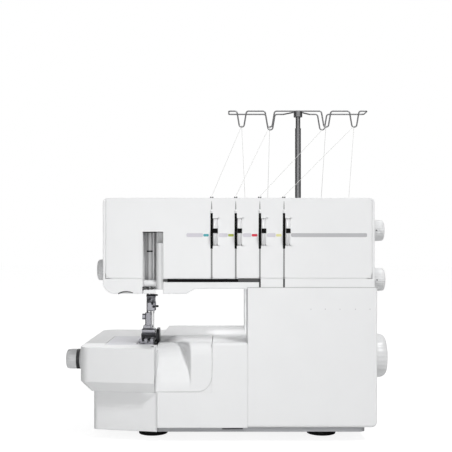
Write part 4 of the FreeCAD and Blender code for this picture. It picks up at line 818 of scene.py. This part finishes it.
class OVERLOCK_OT_looper_door(bpy.types.Operator):
    """Mould the hinged looper door: a raised half, a swept scoop beside it and the knuckle it turns on."""

    bl_idname = "overlock.looper_door"
    bl_label = "Looper door"
    bl_options = {"REGISTER", "UNDO"}

    def execute(self, context):
        mesh = bmesh.new()
        bmesh.ops.create_grid(mesh, x_segments=110, y_segments=100, size=0.5)
        for vert in mesh.verts:
            vert.co = self.skin_point(vert.co.x + 0.5, vert.co.y + 0.5)
        for _ in range(4):
            inner = [vert for vert in mesh.verts if not vert.is_boundary]
            bmesh.ops.smooth_vert(
                mesh, verts=inner, factor=0.4, use_axis_x=True, use_axis_y=True, use_axis_z=True
            )
        shell = moulded("door_white", finish().casing, 0.38, edge=0.25 * MM).material
        door = piece_from("looper_door", mesh, "looper_cover", shell)
        if sum(face.normal.y * face.area for face in door.data.polygons) > 0:
            door.data.flip_normals()
        smooth(door, 60)
        wall = door.modifiers.new("wall", "SOLIDIFY")
        wall.thickness = 2.2 * MM
        wall.offset = -1
        stand_in("looper_cover")
        self.knuckle()
        self.corner_fill()
        return {"FINISHED"}

    def skin_point(self, across, up):
        """A point of the door's outside from its shares of the width and of the profile."""
        raised_depth, raised_z = between(DOOR_RAISED, up)
        scoop_depth, scoop_z = between(DOOR_SCOOP, up)
        right = DOOR_RIGHT
        if raised_z < CORNER_Z:
            right = CORNER_X + 16.0 * math.sqrt(max(0.0, 1 - ((CORNER_Z - raised_z) / 16.2) ** 2))
        x = DOOR_LEFT + across * (right - DOOR_LEFT)
        floor_x = along_line(FLOOR_EDGE, scoop_depth)
        raised_x = along_line(RAISED_EDGE, raised_depth)
        share = min(1.0, max(0.0, (x - floor_x) / max(0.4, raised_x - floor_x)))
        share = share * share * (3 - 2 * share)
        depth = scoop_depth + (raised_depth - scoop_depth) * share
        height = scoop_z + (raised_z - scoop_z) * share
        return mm(x, FRONT + depth, height)

    def knuckle(self):
        mesh = bmesh.new()
        outline = ((-69, 2.3), (-69, 4.3), (-68.5, 4.8), (-40.5, 4.8), (-40, 4.3), (-40, 2.3), (-69, 2.3))
        turned(mesh, outline, mm(0, -119, 57), steps=40)
        smooth(piece_from("door_knuckle", mesh, "looper_cover", material("white_gloss")))

    def corner_fill(self):
        """The door's corner outside its rounded seam, a web behind it, and the bed's lip round both."""
        mesh = bmesh.new()
        for scale, behind in ((1.0, 0), (0.92, 1.1)):
            arc = [
                (CORNER_X + 16.3 * scale * math.sin(turn), CORNER_Z - 16.5 * scale * math.cos(turn))
                for turn in (math.radians(step * 6) for step in range(2, 14))
            ]
            outline = [*arc, (-16.35, arc[-1][1]), (-16.35, 51.75), (arc[0][0], 51.75)]
            slab(mesh, [(x, FRONT + behind, z) for x, z in outline], (0, 1.1, 0))
        piece_from("door_corner", mesh, "looper_cover", flush_white())
        mesh = bmesh.new()
        lip = ((-35, 51.55), (-16.15, 51.55), (-16.15, 71), (-14.2, 71), (-14.2, 49.6), (-35, 49.6))
        slab(mesh, [(x, FRONT - 0.04, z) for x, z in lip], (0, 0.5, 0))
        piece_from("mouth_edge", mesh, ROOT, flush_white())
        upright = ((-16.3, -123.85, 52), (-15.7, -122.9, 100.5))
        level = ((-73, -123.85, 51.1), (-16.3, -122.9, 51.7))
        tiles("door_rim", ROOT, flush_white(), [upright, level])


# How far back the four setting dials turn; each one's base and tip along x, its radius, its height and
# the length of its bare stem; and each index dot's x, its distance from the axis and its height, all in
# millimetres
DIAL_Y = -64
SIDE_DIALS = {
    "stitch_length_dial": (152.3, 169.4, 11.5, 217, 0.0),
    "differential_dial": (152.3, 170.0, 12.5, 163.5, 0.0),
    "pressure_dial": (-127.3, -141.3, 11.5, 174, 0.0),
    "cutting_width_dial": (-139.3, -175.0, 10.75, 77, 12.8),
}
DIAL_DOTS = {
    "stitch_length_dial": (160.2, 11.5, 217),
    "differential_dial": (160.6, 12.5, 163.5),
    "pressure_dial": (-128.9, 10.6, 174),
}


class OVERLOCK_OT_side_dials(bpy.types.Operator):
    """Make the four setting dials with ribbed grips, a plain collar and a dished end."""

    bl_idname = "overlock.side_dials"
    bl_label = "Side dials"
    bl_options = {"REGISTER", "UNDO"}

    def execute(self, context):
        grip = dial_white().material
        for body, measures in SIDE_DIALS.items():
            self.dial(body, grip, *measures)
        self.index_dots()
        return {"FINISHED"}

    def dial(self, body, grip, base, tip, radius, z, stem):
        """A dial from its base by the casing to its tip; the ribs are points pressed in round the grip."""
        side = 1 if tip > base else -1
        reach = abs(tip - base)
        outline = [
            (0, 2), (0, 5), (stem, 5), (stem, radius - 1.4),
            (stem + 0.5, radius - 0.9), (stem + 3.2, radius - 0.9),
            (stem + 3.8, radius - 1.2), (stem + 4.2, radius - 0.5), (stem + 5.0, radius), (reach - 6, radius),
            (reach - 1.6, radius - 0.3), (reach - 0.6, radius - 0.9), (reach, radius - 2),
            (reach, radius - 2.8), (reach - 0.7, radius - 3.6), (reach - 0.9, 0),
        ]
        mesh = bmesh.new()
        centre = mm(base, DIAL_Y, z)
        ribs = sizes().dial_ribs
        turned(mesh, [(along * side, across) for along, across in outline], centre, steps=ribs * 4)
        step = math.tau / (ribs * 4)
        for vert in mesh.verts:
            across = vert.co - Vector((vert.co.x, centre.y, centre.z))
            along = abs(vert.co.x - centre.x) / MM
            if stem + 4.0 < along < reach - 0.3 and across.length > (radius - 1.2) * MM:
                if round(math.atan2(across.z, across.y) / step) % 4 in (0, 1):
                    vert.co -= across.normalized() * 0.5 * MM
        made = smooth(piece_from(f"{body}_grip", mesh, body, grip), 50)
        stand_in(body)

    def index_dots(self):
        """A small ink dot on each dial, which turns with it, and on the left one a dark band painted as the
        shade of the gap ring in its grip.
        """
        ink = printed("index_ink", (0.12, 0.12, 0.13)).material
        for body, (x, radius, z) in DIAL_DOTS.items():
            front = DIAL_Y - radius
            dot = ((x - 0.7, front - 0.05, z - 0.7), (x + 0.7, front + 0.6, z + 0.7), 0.5)
            tiles(f"{body}_index", body, ink, [dot])
        mesh = bmesh.new()
        band = ((-160.4, 10.0), (-160.4, 10.85), (-164.0, 10.85), (-164.0, 10.0), (-160.4, 10.0))
        turned(mesh, band, mm(0, DIAL_Y, 77), steps=80)
        smooth(piece_from("cutting_width_band", mesh, "cutting_width_dial", material("dark_plastic")))


class OVERLOCK_OT_handwheel(bpy.types.Operator):
    """Turn the handwheel: a crowned rim, shallow finger flutes round it and a dished face with a hub."""

    bl_idname = "overlock.handwheel"
    bl_label = "Handwheel"
    bl_options = {"REGISTER", "UNDO"}

    def execute(self, context):
        low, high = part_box("handwheel")
        radius = (high[2] - low[2]) / 2
        reach = high[0] - low[0]
        centre = Vector((low[0], (low[1] + high[1]) / 2, (low[2] + high[2]) / 2))
        outline = [
            (0, 0.12), (0, 0.93), (0.03, 0.965), (0.1, 0.985), (0.3, 1.0), (0.55, 1.0), (0.72, 0.985),
            (0.84, 0.955), (0.93, 0.9), (0.98, 0.84), (1.0, 0.76), (0.985, 0.68), (0.93, 0.62), (0.86, 0.5),
            (0.84, 0.36),
            (0.88, 0.33), (0.97, 0.31), (0.99, 0.26), (0.99, 0.0),
        ]
        mesh = bmesh.new()
        flutes = sizes().grip_ribs
        profile = [(along * reach, across * radius) for along, across in outline]
        turned(mesh, profile, centre, steps=flutes * 6, unit=1)
        step = math.tau / flutes
        for vert in mesh.verts:
            across = vert.co - Vector((vert.co.x, centre.y, centre.z))
            along = (vert.co.x - centre.x) / reach
            if across.length > radius * 0.9 and along > 0.5:
                wave = 0.5 + 0.5 * math.cos(math.atan2(across.z, across.y) / step * math.tau)
                vert.co -= across.normalized() * wave * 0.35 * MM
        wheel = smooth(piece_from("handwheel_rim", mesh, "drive_shaft", material("white_dial")), 50)
        stand_in("handwheel")
        return {"FINISHED"}


# Where the cones stand as (x, y), their foot's level, and their profiles as (height, radius), in millimetres
CONE_PLACES = ((22.5, 70), (52.5, 110), (122.5, 110), (152.5, 70))
CONE_FOOT = 152
CONE_WINDING = (
    (2.0, 10), (2.0, 19.8), (2.6, 20.9), (4.2, 21.3), (24, 19.9), (48, 18.1), (72, 16.3), (88, 15.1),
    (90.5, 14.4), (91.6, 13.2), (92, 11), (92, 8),
)
CONE_TUBE = (
    (0, 6), (0, 20.6), (0.6, 21.2), (1.6, 21.2), (2.2, 20.4), (2.4, 12), (90, 9), (92, 8.6), (97.2, 8.2),
    (98, 7.6), (98, 6.4), (90, 6), (0, 6),
)


class OVERLOCK_OT_thread_cones(bpy.types.Operator):
    """Wind the four cones: a plastic core with a flange and a crowned body of cross-wound thread."""

    bl_idname = "overlock.thread_cones"
    bl_label = "Thread cones"
    bl_options = {"REGISTER", "UNDO"}

    def execute(self, context):
        wound = smooth(self.cones("wound_cones", CONE_WINDING, "thread_white"), 50)
        stand_in("thread_cones")
        smooth(self.cones("cone_cores", CONE_TUBE, "white_dial"), 40)
        return {"FINISHED"}

    def cones(self, name, profile, slot):
        mesh = bmesh.new()
        for x, y in CONE_PLACES:
            turned(mesh, profile, mm(x, y, CONE_FOOT), axis="Z", steps=72)
        return piece_from(name, mesh, ROOT, material(slot))


def gunmetal():
    """Dull zinc castings of the needle clamp and the presser foot."""
    return metal("gunmetal", finish().gunmetal, 0.38, (700, 700, 700))


def blackened():
    """Oil-blackened screws and knives."""
    return metal("blackened", finish().blackened, 0.42, (900, 900, 900), edge=0.25 * MM)


def bar_steel():
    """Satin-ground steel of the bar guard, too dull to mirror the recess."""
    paint = metal("bar_steel", finish().bar, 0.55, (1500, 1500, 40), depth=0.00002)
    return paint.set("Metallic", 0.35)


# The recess's side wall, its inner block and the block's top, the backing and the two rails, each as its
# low and high corner, its rounding, the axis of the rounding and its segments, in millimetres
RECESS_WALLS = (
    ((-87.3, -123.6, 158.4), (-86.5, -84, 214.4), 0.2, 1, 1),
    ((-73.4, -121.4, 155.8), (-56, -95, 203.4), 5.0, 2, 10),
    ((-74.6, -104, 203.4), (-60, -95, 214.4), 2.0, 2, 8),
    ((-86.8, -89.2, 158.6), (-72, -88.2, 214.4), 0.1, 1, 1),
    ((-86.4, -98, 162), (-85.2, -90, 214), 0.4, 2, 3),
    ((-78.8, -98.6, 162), (-77, -90, 214), 0.6, 2, 3),
)


class OVERLOCK_OT_needle_recess(bpy.types.Operator):
    """Line the recess of the needle bar: side wall, inner block, bar guard, lower bush and its flange."""

    bl_idname = "overlock.needle_recess"
    bl_label = "Needle recess"
    bl_options = {"REGISTER", "UNDO"}

    def execute(self, context):
        white = material("white_gloss")
        smooth(tiles("recess_lining", ROOT, white, RECESS_WALLS))
        bush = ((-86.4, -116, 158.4), (-67.2, -94, 164.9), 2.6, 0)
        smooth(tiles("bar_bush", ROOT, material("white_dial"), [bush]))
        flange = ((-86.0, -125.2, 151.8), (-73.6, -123.5, 155.7), 1.2)
        smooth(tiles("bush_flange", ROOT, white, [flange]))
        flat_print("bush_shadow_gap", [(-85.6, -75.2, 156.3, 157.3)], 0.4, material("dark_plastic"))
        self.bar_guard()
        return {"FINISHED"}

    def bar_guard(self):
        """The round steel face in front of the bar guides, with its black ring."""
        axle = mm(-82.0, -95.6, 0)
        mesh = bmesh.new()
        turned(mesh, ((162, 0), (162, 3.1), (214, 3.1), (214, 0)), axle, axis="Z")
        smooth(piece_from("bar_guard", mesh, ROOT, bar_steel().material))
        mesh = bmesh.new()
        ring = ((193.8, 2.8), (193.8, 3.4), (195.3, 3.4), (195.3, 2.8), (193.8, 2.8))
        turned(mesh, ring, axle, axis="Z")
        smooth(piece_from("guard_ring", mesh, ROOT, material("dark_plastic")))


class OVERLOCK_OT_needle_head(bpy.types.Operator):
    """Build the needle clamp with its collar, set screws, thread hook and stub."""

    bl_idname = "overlock.needle_head"
    bl_label = "Needle clamp"
    bl_options = {"REGISTER", "UNDO"}

    def execute(self, context):
        mesh = bmesh.new()
        x, y = -82.4, -78
        collar = (
            (130.6, 0), (130.6, 3.6), (131.4, 4.3), (139.6, 4.6), (140.4, 5.1), (141.2, 4.7), (144.8, 4.7),
            (145.6, 5.2), (147.6, 5.2), (148.4, 4.4), (148.4, 0),
        )
        turned(mesh, collar, mm(x, y, 0), axis="Z", steps=48)
        tile(mesh, (-86.9, -82.9, 131.2), (-77.4, -74, 139.4), 1.2, axis=2)
        clamp = smooth(piece_from("clamp_casting", mesh, "needle_bar", gunmetal().material))
        stand_in("needle_clamp")
        mesh = bmesh.new()
        head = ((-85.4, 0), (-85.4, 1.0), (-85.1, 1.3), (-82.4, 1.3), (-82.4, 0))
        for screw_x, z in ((-80.6, 138.6), (-79.2, 135.4), (-83.4, 143.2)):
            turned(mesh, head, mm(screw_x, 0, z), axis="Y", steps=24)
        stub = ((-78.4, 0), (-78.4, 1.1), (-74.6, 1.1), (-74.2, 0.7), (-74.2, 0))
        turned(mesh, stub, mm(0, -80, 135.6), steps=24)
        screws = smooth(piece_from("clamp_set_screws", mesh, "needle_bar", blackened().material))
        stand_in("clamp_screws")
        mesh = bmesh.new()
        hook = ((147.2, 4.6), (146.8, 6.2), (147.6, 6.4), (148.2, 5.6), (147.2, 4.6))
        turned(mesh, hook, mm(x + 1.2, y - 1.2, 0), axis="Z", steps=48)
        smooth(piece_from("clamp_thread_hook", mesh, "needle_bar", blackened().material))
        return {"FINISHED"}


# The foot's boxes as low and high corner, rounding and the axis of the rounding, in millimetres. The sole's
# right side and right toe stop either side of the needles' way down
FOOT_SHANK = (
    ((-90.4, -64.4, 110.2), (-83.2, -55.6, 127.0), 1.4, 2),
    ((-93.6, -63.6, 119.6), (-89.6, -57, 125.8), 1.6, 0),
    ((-92.4, -66, 110.2), (-82.4, -55.2, 113.4), 0.8, 1),
)
FOOT_SOLE = (
    ((-94.3, -91.8, 97.4), (-84.6, -50.2, 99.0), 1.6, 2),
    ((-94.2, -91.6, 98.6), (-90.8, -52, 101.8), 0.9, 1),
    ((-88.4, -91.6, 98.6), (-85.0, -52, 101.8), 0.9, 1),
    ((-84.8, -91.8, 97.4), (-78.1, -80.2, 99.0), 1.0, 2),
    ((-82.2, -91.6, 98.6), (-78.8, -80.4, 101.8), 0.9, 1),
    ((-84.8, -75.8, 97.4), (-78.1, -50.2, 99.0), 1.0, 2),
    ((-82.2, -75.6, 98.6), (-78.8, -50.4, 101.8), 0.9, 1),
    ((-93.6, -72.4, 101.4), (-78.6, -53, 105.4), 1.2, 0),
    ((-93.2, -71, 105.0), (-79.0, -55, 110.0), 1.4, 0),
)
# Blackened boxes in the sole's gaps and cross groove: painted shade of their hollows
FOOT_GAP_SHADES = (
    ((-90.6, -90.4, 99.0), (-88.4, -74.2, 100.6), 0.3, 1),
    ((-84.6, -90.4, 99.0), (-82.4, -80.4, 100.6), 0.3, 1),
    ((-93.4, -73.2, 101.0), (-78.8, -72.2, 104.6), 0.3, 0),
)


class OVERLOCK_OT_presser(bpy.types.Operator):
    """Build the presser foot: shank with its tab and knob, split sole with its toes, painted shade in its
    gaps, and spring.
    """

    bl_idname = "overlock.presser"
    bl_label = "Presser foot"
    bl_options = {"REGISTER", "UNDO"}

    def execute(self, context):
        steel = gunmetal().material
        shank = smooth(tiles("foot_shank", "presser_bar", steel, FOOT_SHANK))
        stand_in("presser_ankle")
        sole = smooth(tiles("foot_sole", "presser_bar", steel, FOOT_SOLE))
        stand_in("presser_foot")
        tiles("foot_gaps", "presser_bar", blackened().material, FOOT_GAP_SHADES)
        self.spring()
        return {"FINISHED"}

    def spring(self):
        """The coil round the presser bar, wound to fill the box of the frame's spring."""
        low, high = (Vector(corner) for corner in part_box("presser_spring"))
        centre, wire, turns, turn_steps = (low + high) / 2, 0.9 * MM, 7, 24
        mesh = bmesh.new()
        bmesh.ops.create_circle(mesh, segments=12, radius=wire)
        away = Vector(((high.x - low.x) / 2 - wire - 0.1 * MM, 0, low.z - centre.z + wire))
        for vert in mesh.verts:
            vert.co = centre + away + Vector((vert.co.x, 0, vert.co.y))
        rise = (high.z - low.z - 2 * wire) / (turns * turn_steps)
        bmesh.ops.spin(
            mesh, geom=mesh.verts[:] + mesh.edges[:], cent=centre, axis=(0, 0, 1), dvec=(0, 0, rise),
            angle=turns * math.tau, steps=turns * turn_steps,
        )
        open_edges = [edge for edge in mesh.edges if edge.is_boundary]
        bmesh.ops.holes_fill(mesh, edges=open_edges, sides=0)
        coil = smooth(piece_from("presser_coil", mesh, ROOT, material("bright_steel")))
        stand_in("presser_spring")
        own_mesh(coil)


class OVERLOCK_OT_knives(bpy.types.Operator):
    """Grind the upper knife's blade and ink the cutting marks on the cloth plate."""

    bl_idname = "overlock.knives"
    bl_label = "Knives"
    bl_options = {"REGISTER", "UNDO"}

    def execute(self, context):
        mesh = bmesh.new()
        outline = ((-80, 97.4), (-80, 106), (-77.6, 110.8), (-70.2, 110.8), (-70.2, 96.2), (-78.4, 96.2))
        slab(mesh, [(-76.8, y, z) for y, z in outline], (2.8, 0, 0))
        bmesh.ops.bevel(
            mesh, geom=mesh.edges[:], offset=0.35 * MM, segments=2, profile=0.5, affect="EDGES", material=-1
        )
        blade = smooth(piece_from("knife_blade", mesh, "upper_knife", blackened().material), 30)
        stand_in("upper_knife")
        self.cutting_marks()
        return {"FINISHED"}

    def cutting_marks(self):
        """The black arrow on the cloth plate, and a thin dark slab on the base painted as the shade in its
        slot.
        """
        ink = printed("cutting_ink", (0.02, 0.02, 0.022)).material
        mesh = bmesh.new()
        arrow = ((-79.4, -119.5), (-75.4, -119.5), (-77.4, -111.5))
        slab(mesh, [(x, y, 97.05) for x, y in arrow], (0, 0, -0.3))
        piece_from("cutting_arrow", mesh, "cloth_plate", ink)
        slot = ((-6, -121.6, 13.4), (15.2, -121.2, 14.7))
        tiles("base_slot", ROOT, material("dark_plastic"), [slot])


# Each soft box's place, the point it faces and its width, in metres; its power is the stage's own value
SOFT_BOXES = {
    "key": ((0.98, -1.24, 1.9), (0.0, -0.1, 0.12), 0.36),
    "front": ((-0.12, -0.78, 0.14), (0.0, -0.1, 0.15), 0.45),
    "top": ((0.0, -0.2, 1.25), (0.0, -0.02, 0.1), 0.8),
    "back": ((-0.1, 0.9, 0.6), (-0.05, 0.0, 0.1), 0.9),
    "throat": ((-0.035, -0.03, 0.126), (0.02, -0.03, 0.126), 0.03),
}
# The half width of the floor, in metres
FLOOR_REACH = 6


class OVERLOCK_OT_stage(bpy.types.Operator):
    """Set up the pale floor, the white room, the soft boxes and the camera."""

    bl_idname = "overlock.stage"
    bl_label = "Stage"
    bl_options = {"REGISTER", "UNDO"}

    def execute(self, context):
        self.floor()
        self.world()
        for name, (place, target, width) in SOFT_BOXES.items():
            self.soft_box(name, place, target, width)
        # The strip in the throat lights the column's inner side and little else
        bpy.data.lights["throat_box"].spread = math.radians(110)
        self.dark_flags()
        self.camera()
        bpy.context.scene.view_settings.view_transform = "Standard"
        return {"FINISHED"}

    def floor(self):
        paint = Paint("floor_white", Roughness=0.9, Specular_IOR_Level=0.1)
        camera_ray = paint.node("ShaderNodeLightPath", output="Is Camera Ray")
        paint.set("Base Color", paint.mix(camera_ray, (0.8, 0.8, 0.8), (0.3, 0.3, 0.3)))
        paint.set("Emission Color", paint.mix(camera_ray, (0, 0, 0), (0.88, 0.88, 0.88)))
        paint.set("Emission Strength", 1.0)
        mesh = bmesh.new()
        bmesh.ops.create_grid(mesh, x_segments=1, y_segments=1, size=FLOOR_REACH)
        object_from("floor", mesh, paint.material)

    def world(self):
        world = bpy.data.worlds.new("white_room")
        world.use_nodes = True
        bpy.context.scene.world = world
        tree = world.node_tree
        background = tree.nodes["Background"]
        background.inputs["Color"].default_value = (1, 1, 1, 1)
        paths = tree.nodes.new("ShaderNodeLightPath")
        seen = paths.outputs["Is Camera Ray"]
        for name in ("Is Glossy Ray", "Is Transmission Ray"):
            either = tree.nodes.new("ShaderNodeMath")
            either.operation = "MAXIMUM"
            tree.links.new(seen, either.inputs[0])
            tree.links.new(paths.outputs[name], either.inputs[1])
            seen = either.outputs[0]
        level = tree.nodes.new("ShaderNodeMapRange")
        level.inputs["To Min"].default_value = stage().sky
        level.inputs["To Max"].default_value = 1.0
        tree.links.new(seen, level.inputs["Value"])
        tree.links.new(level.outputs["Result"], background.inputs["Strength"])

    def soft_box(self, name, place, target, width):
        light = bpy.data.lights.new(f"{name}_box", "AREA")
        light.energy = getattr(stage(), f"{name}_power")
        light.shape = "DISK"
        light.size = width
        lamp = bpy.data.objects.new(f"{name}_box", light)
        lamp.location = place
        lamp.visible_camera = False
        lamp.rotation_euler = (Vector(target) - Vector(place)).to_track_quat("-Z", "Y").to_euler()
        bpy.context.scene.collection.objects.link(lamp)

    def dark_flags(self):
        """Black cards at both sides that only polished metal mirrors."""
        paint = Paint("flag_black", Roughness=1.0, Specular_IOR_Level=0.0)
        paint.set("Base Color", paint.vary((0.02, 0.02, 0.02), 0.1))
        mesh = bmesh.new()
        for middle in (-1200, 1200):
            tile(mesh, (middle - 10, -900, 0), (middle + 10, 900, 1200))
        flags = object_from("dark_flags", mesh, paint.material)
        flags.visible_camera = False
        flags.visible_diffuse = False
        flags.visible_shadow = False
        flags.visible_transmission = False

    def camera(self):
        data = bpy.data.cameras.new("photo_camera")
        data.lens = stage().lens
        data.shift_y = stage().shift
        camera = bpy.data.objects.new("photo_camera", data)
        camera.location = stage().camera_place
        camera.rotation_euler = (math.pi / 2, 0, 0)
        bpy.context.scene.collection.objects.link(camera)
        bpy.context.scene.camera = camera


class OVERLOCK_PT_panel(bpy.types.Panel):
    """Lists the steps that dress the machine, with their colours and sizes."""

    bl_label = "Overlock machine"
    bl_idname = "OVERLOCK_PT_panel"
    bl_space_type = "VIEW_3D"
    bl_region_type = "UI"
    bl_category = "Overlock"

    def draw(self, context):
        for group in (finish(), sizes(), stage()):
            box = self.layout.box()
            for name in group.bl_rna.properties.keys():
                if name not in ("name", "rna_type"):
                    box.prop(group, name)
        for step in STEPS:
            self.layout.operator(step.bl_idname)


GROUPS = {"overlock_finish": OverlockFinish, "overlock_sizes": OverlockSizes, "overlock_stage": OverlockStage}
STEPS = (
    OVERLOCK_OT_finish_nodes,
    OVERLOCK_OT_threads,
    OVERLOCK_OT_panel_print,
    OVERLOCK_OT_thread_slots,
    OVERLOCK_OT_tension_wheels,
    OVERLOCK_OT_looper_door,
    OVERLOCK_OT_side_dials,
    OVERLOCK_OT_handwheel,
    OVERLOCK_OT_thread_cones,
    OVERLOCK_OT_needle_recess,
    OVERLOCK_OT_needle_head,
    OVERLOCK_OT_presser,
    OVERLOCK_OT_knives,
    OVERLOCK_OT_stage,
)


def register():
    for item in (*GROUPS.values(), *STEPS, OVERLOCK_PT_panel):
        bpy.utils.register_class(item)
    for name, group in GROUPS.items():
        setattr(bpy.types.Scene, name, PointerProperty(type=group))


def unregister():
    for name in GROUPS:
        delattr(bpy.types.Scene, name)
    for item in reversed((*GROUPS.values(), *STEPS, OVERLOCK_PT_panel)):
        bpy.utils.unregister_class(item)


def main():
    register()
    for step in STEPS:
        family, name = step.bl_idname.split(".")
        getattr(getattr(bpy.ops, family), name)()


if __name__ == "__main__":
    main()
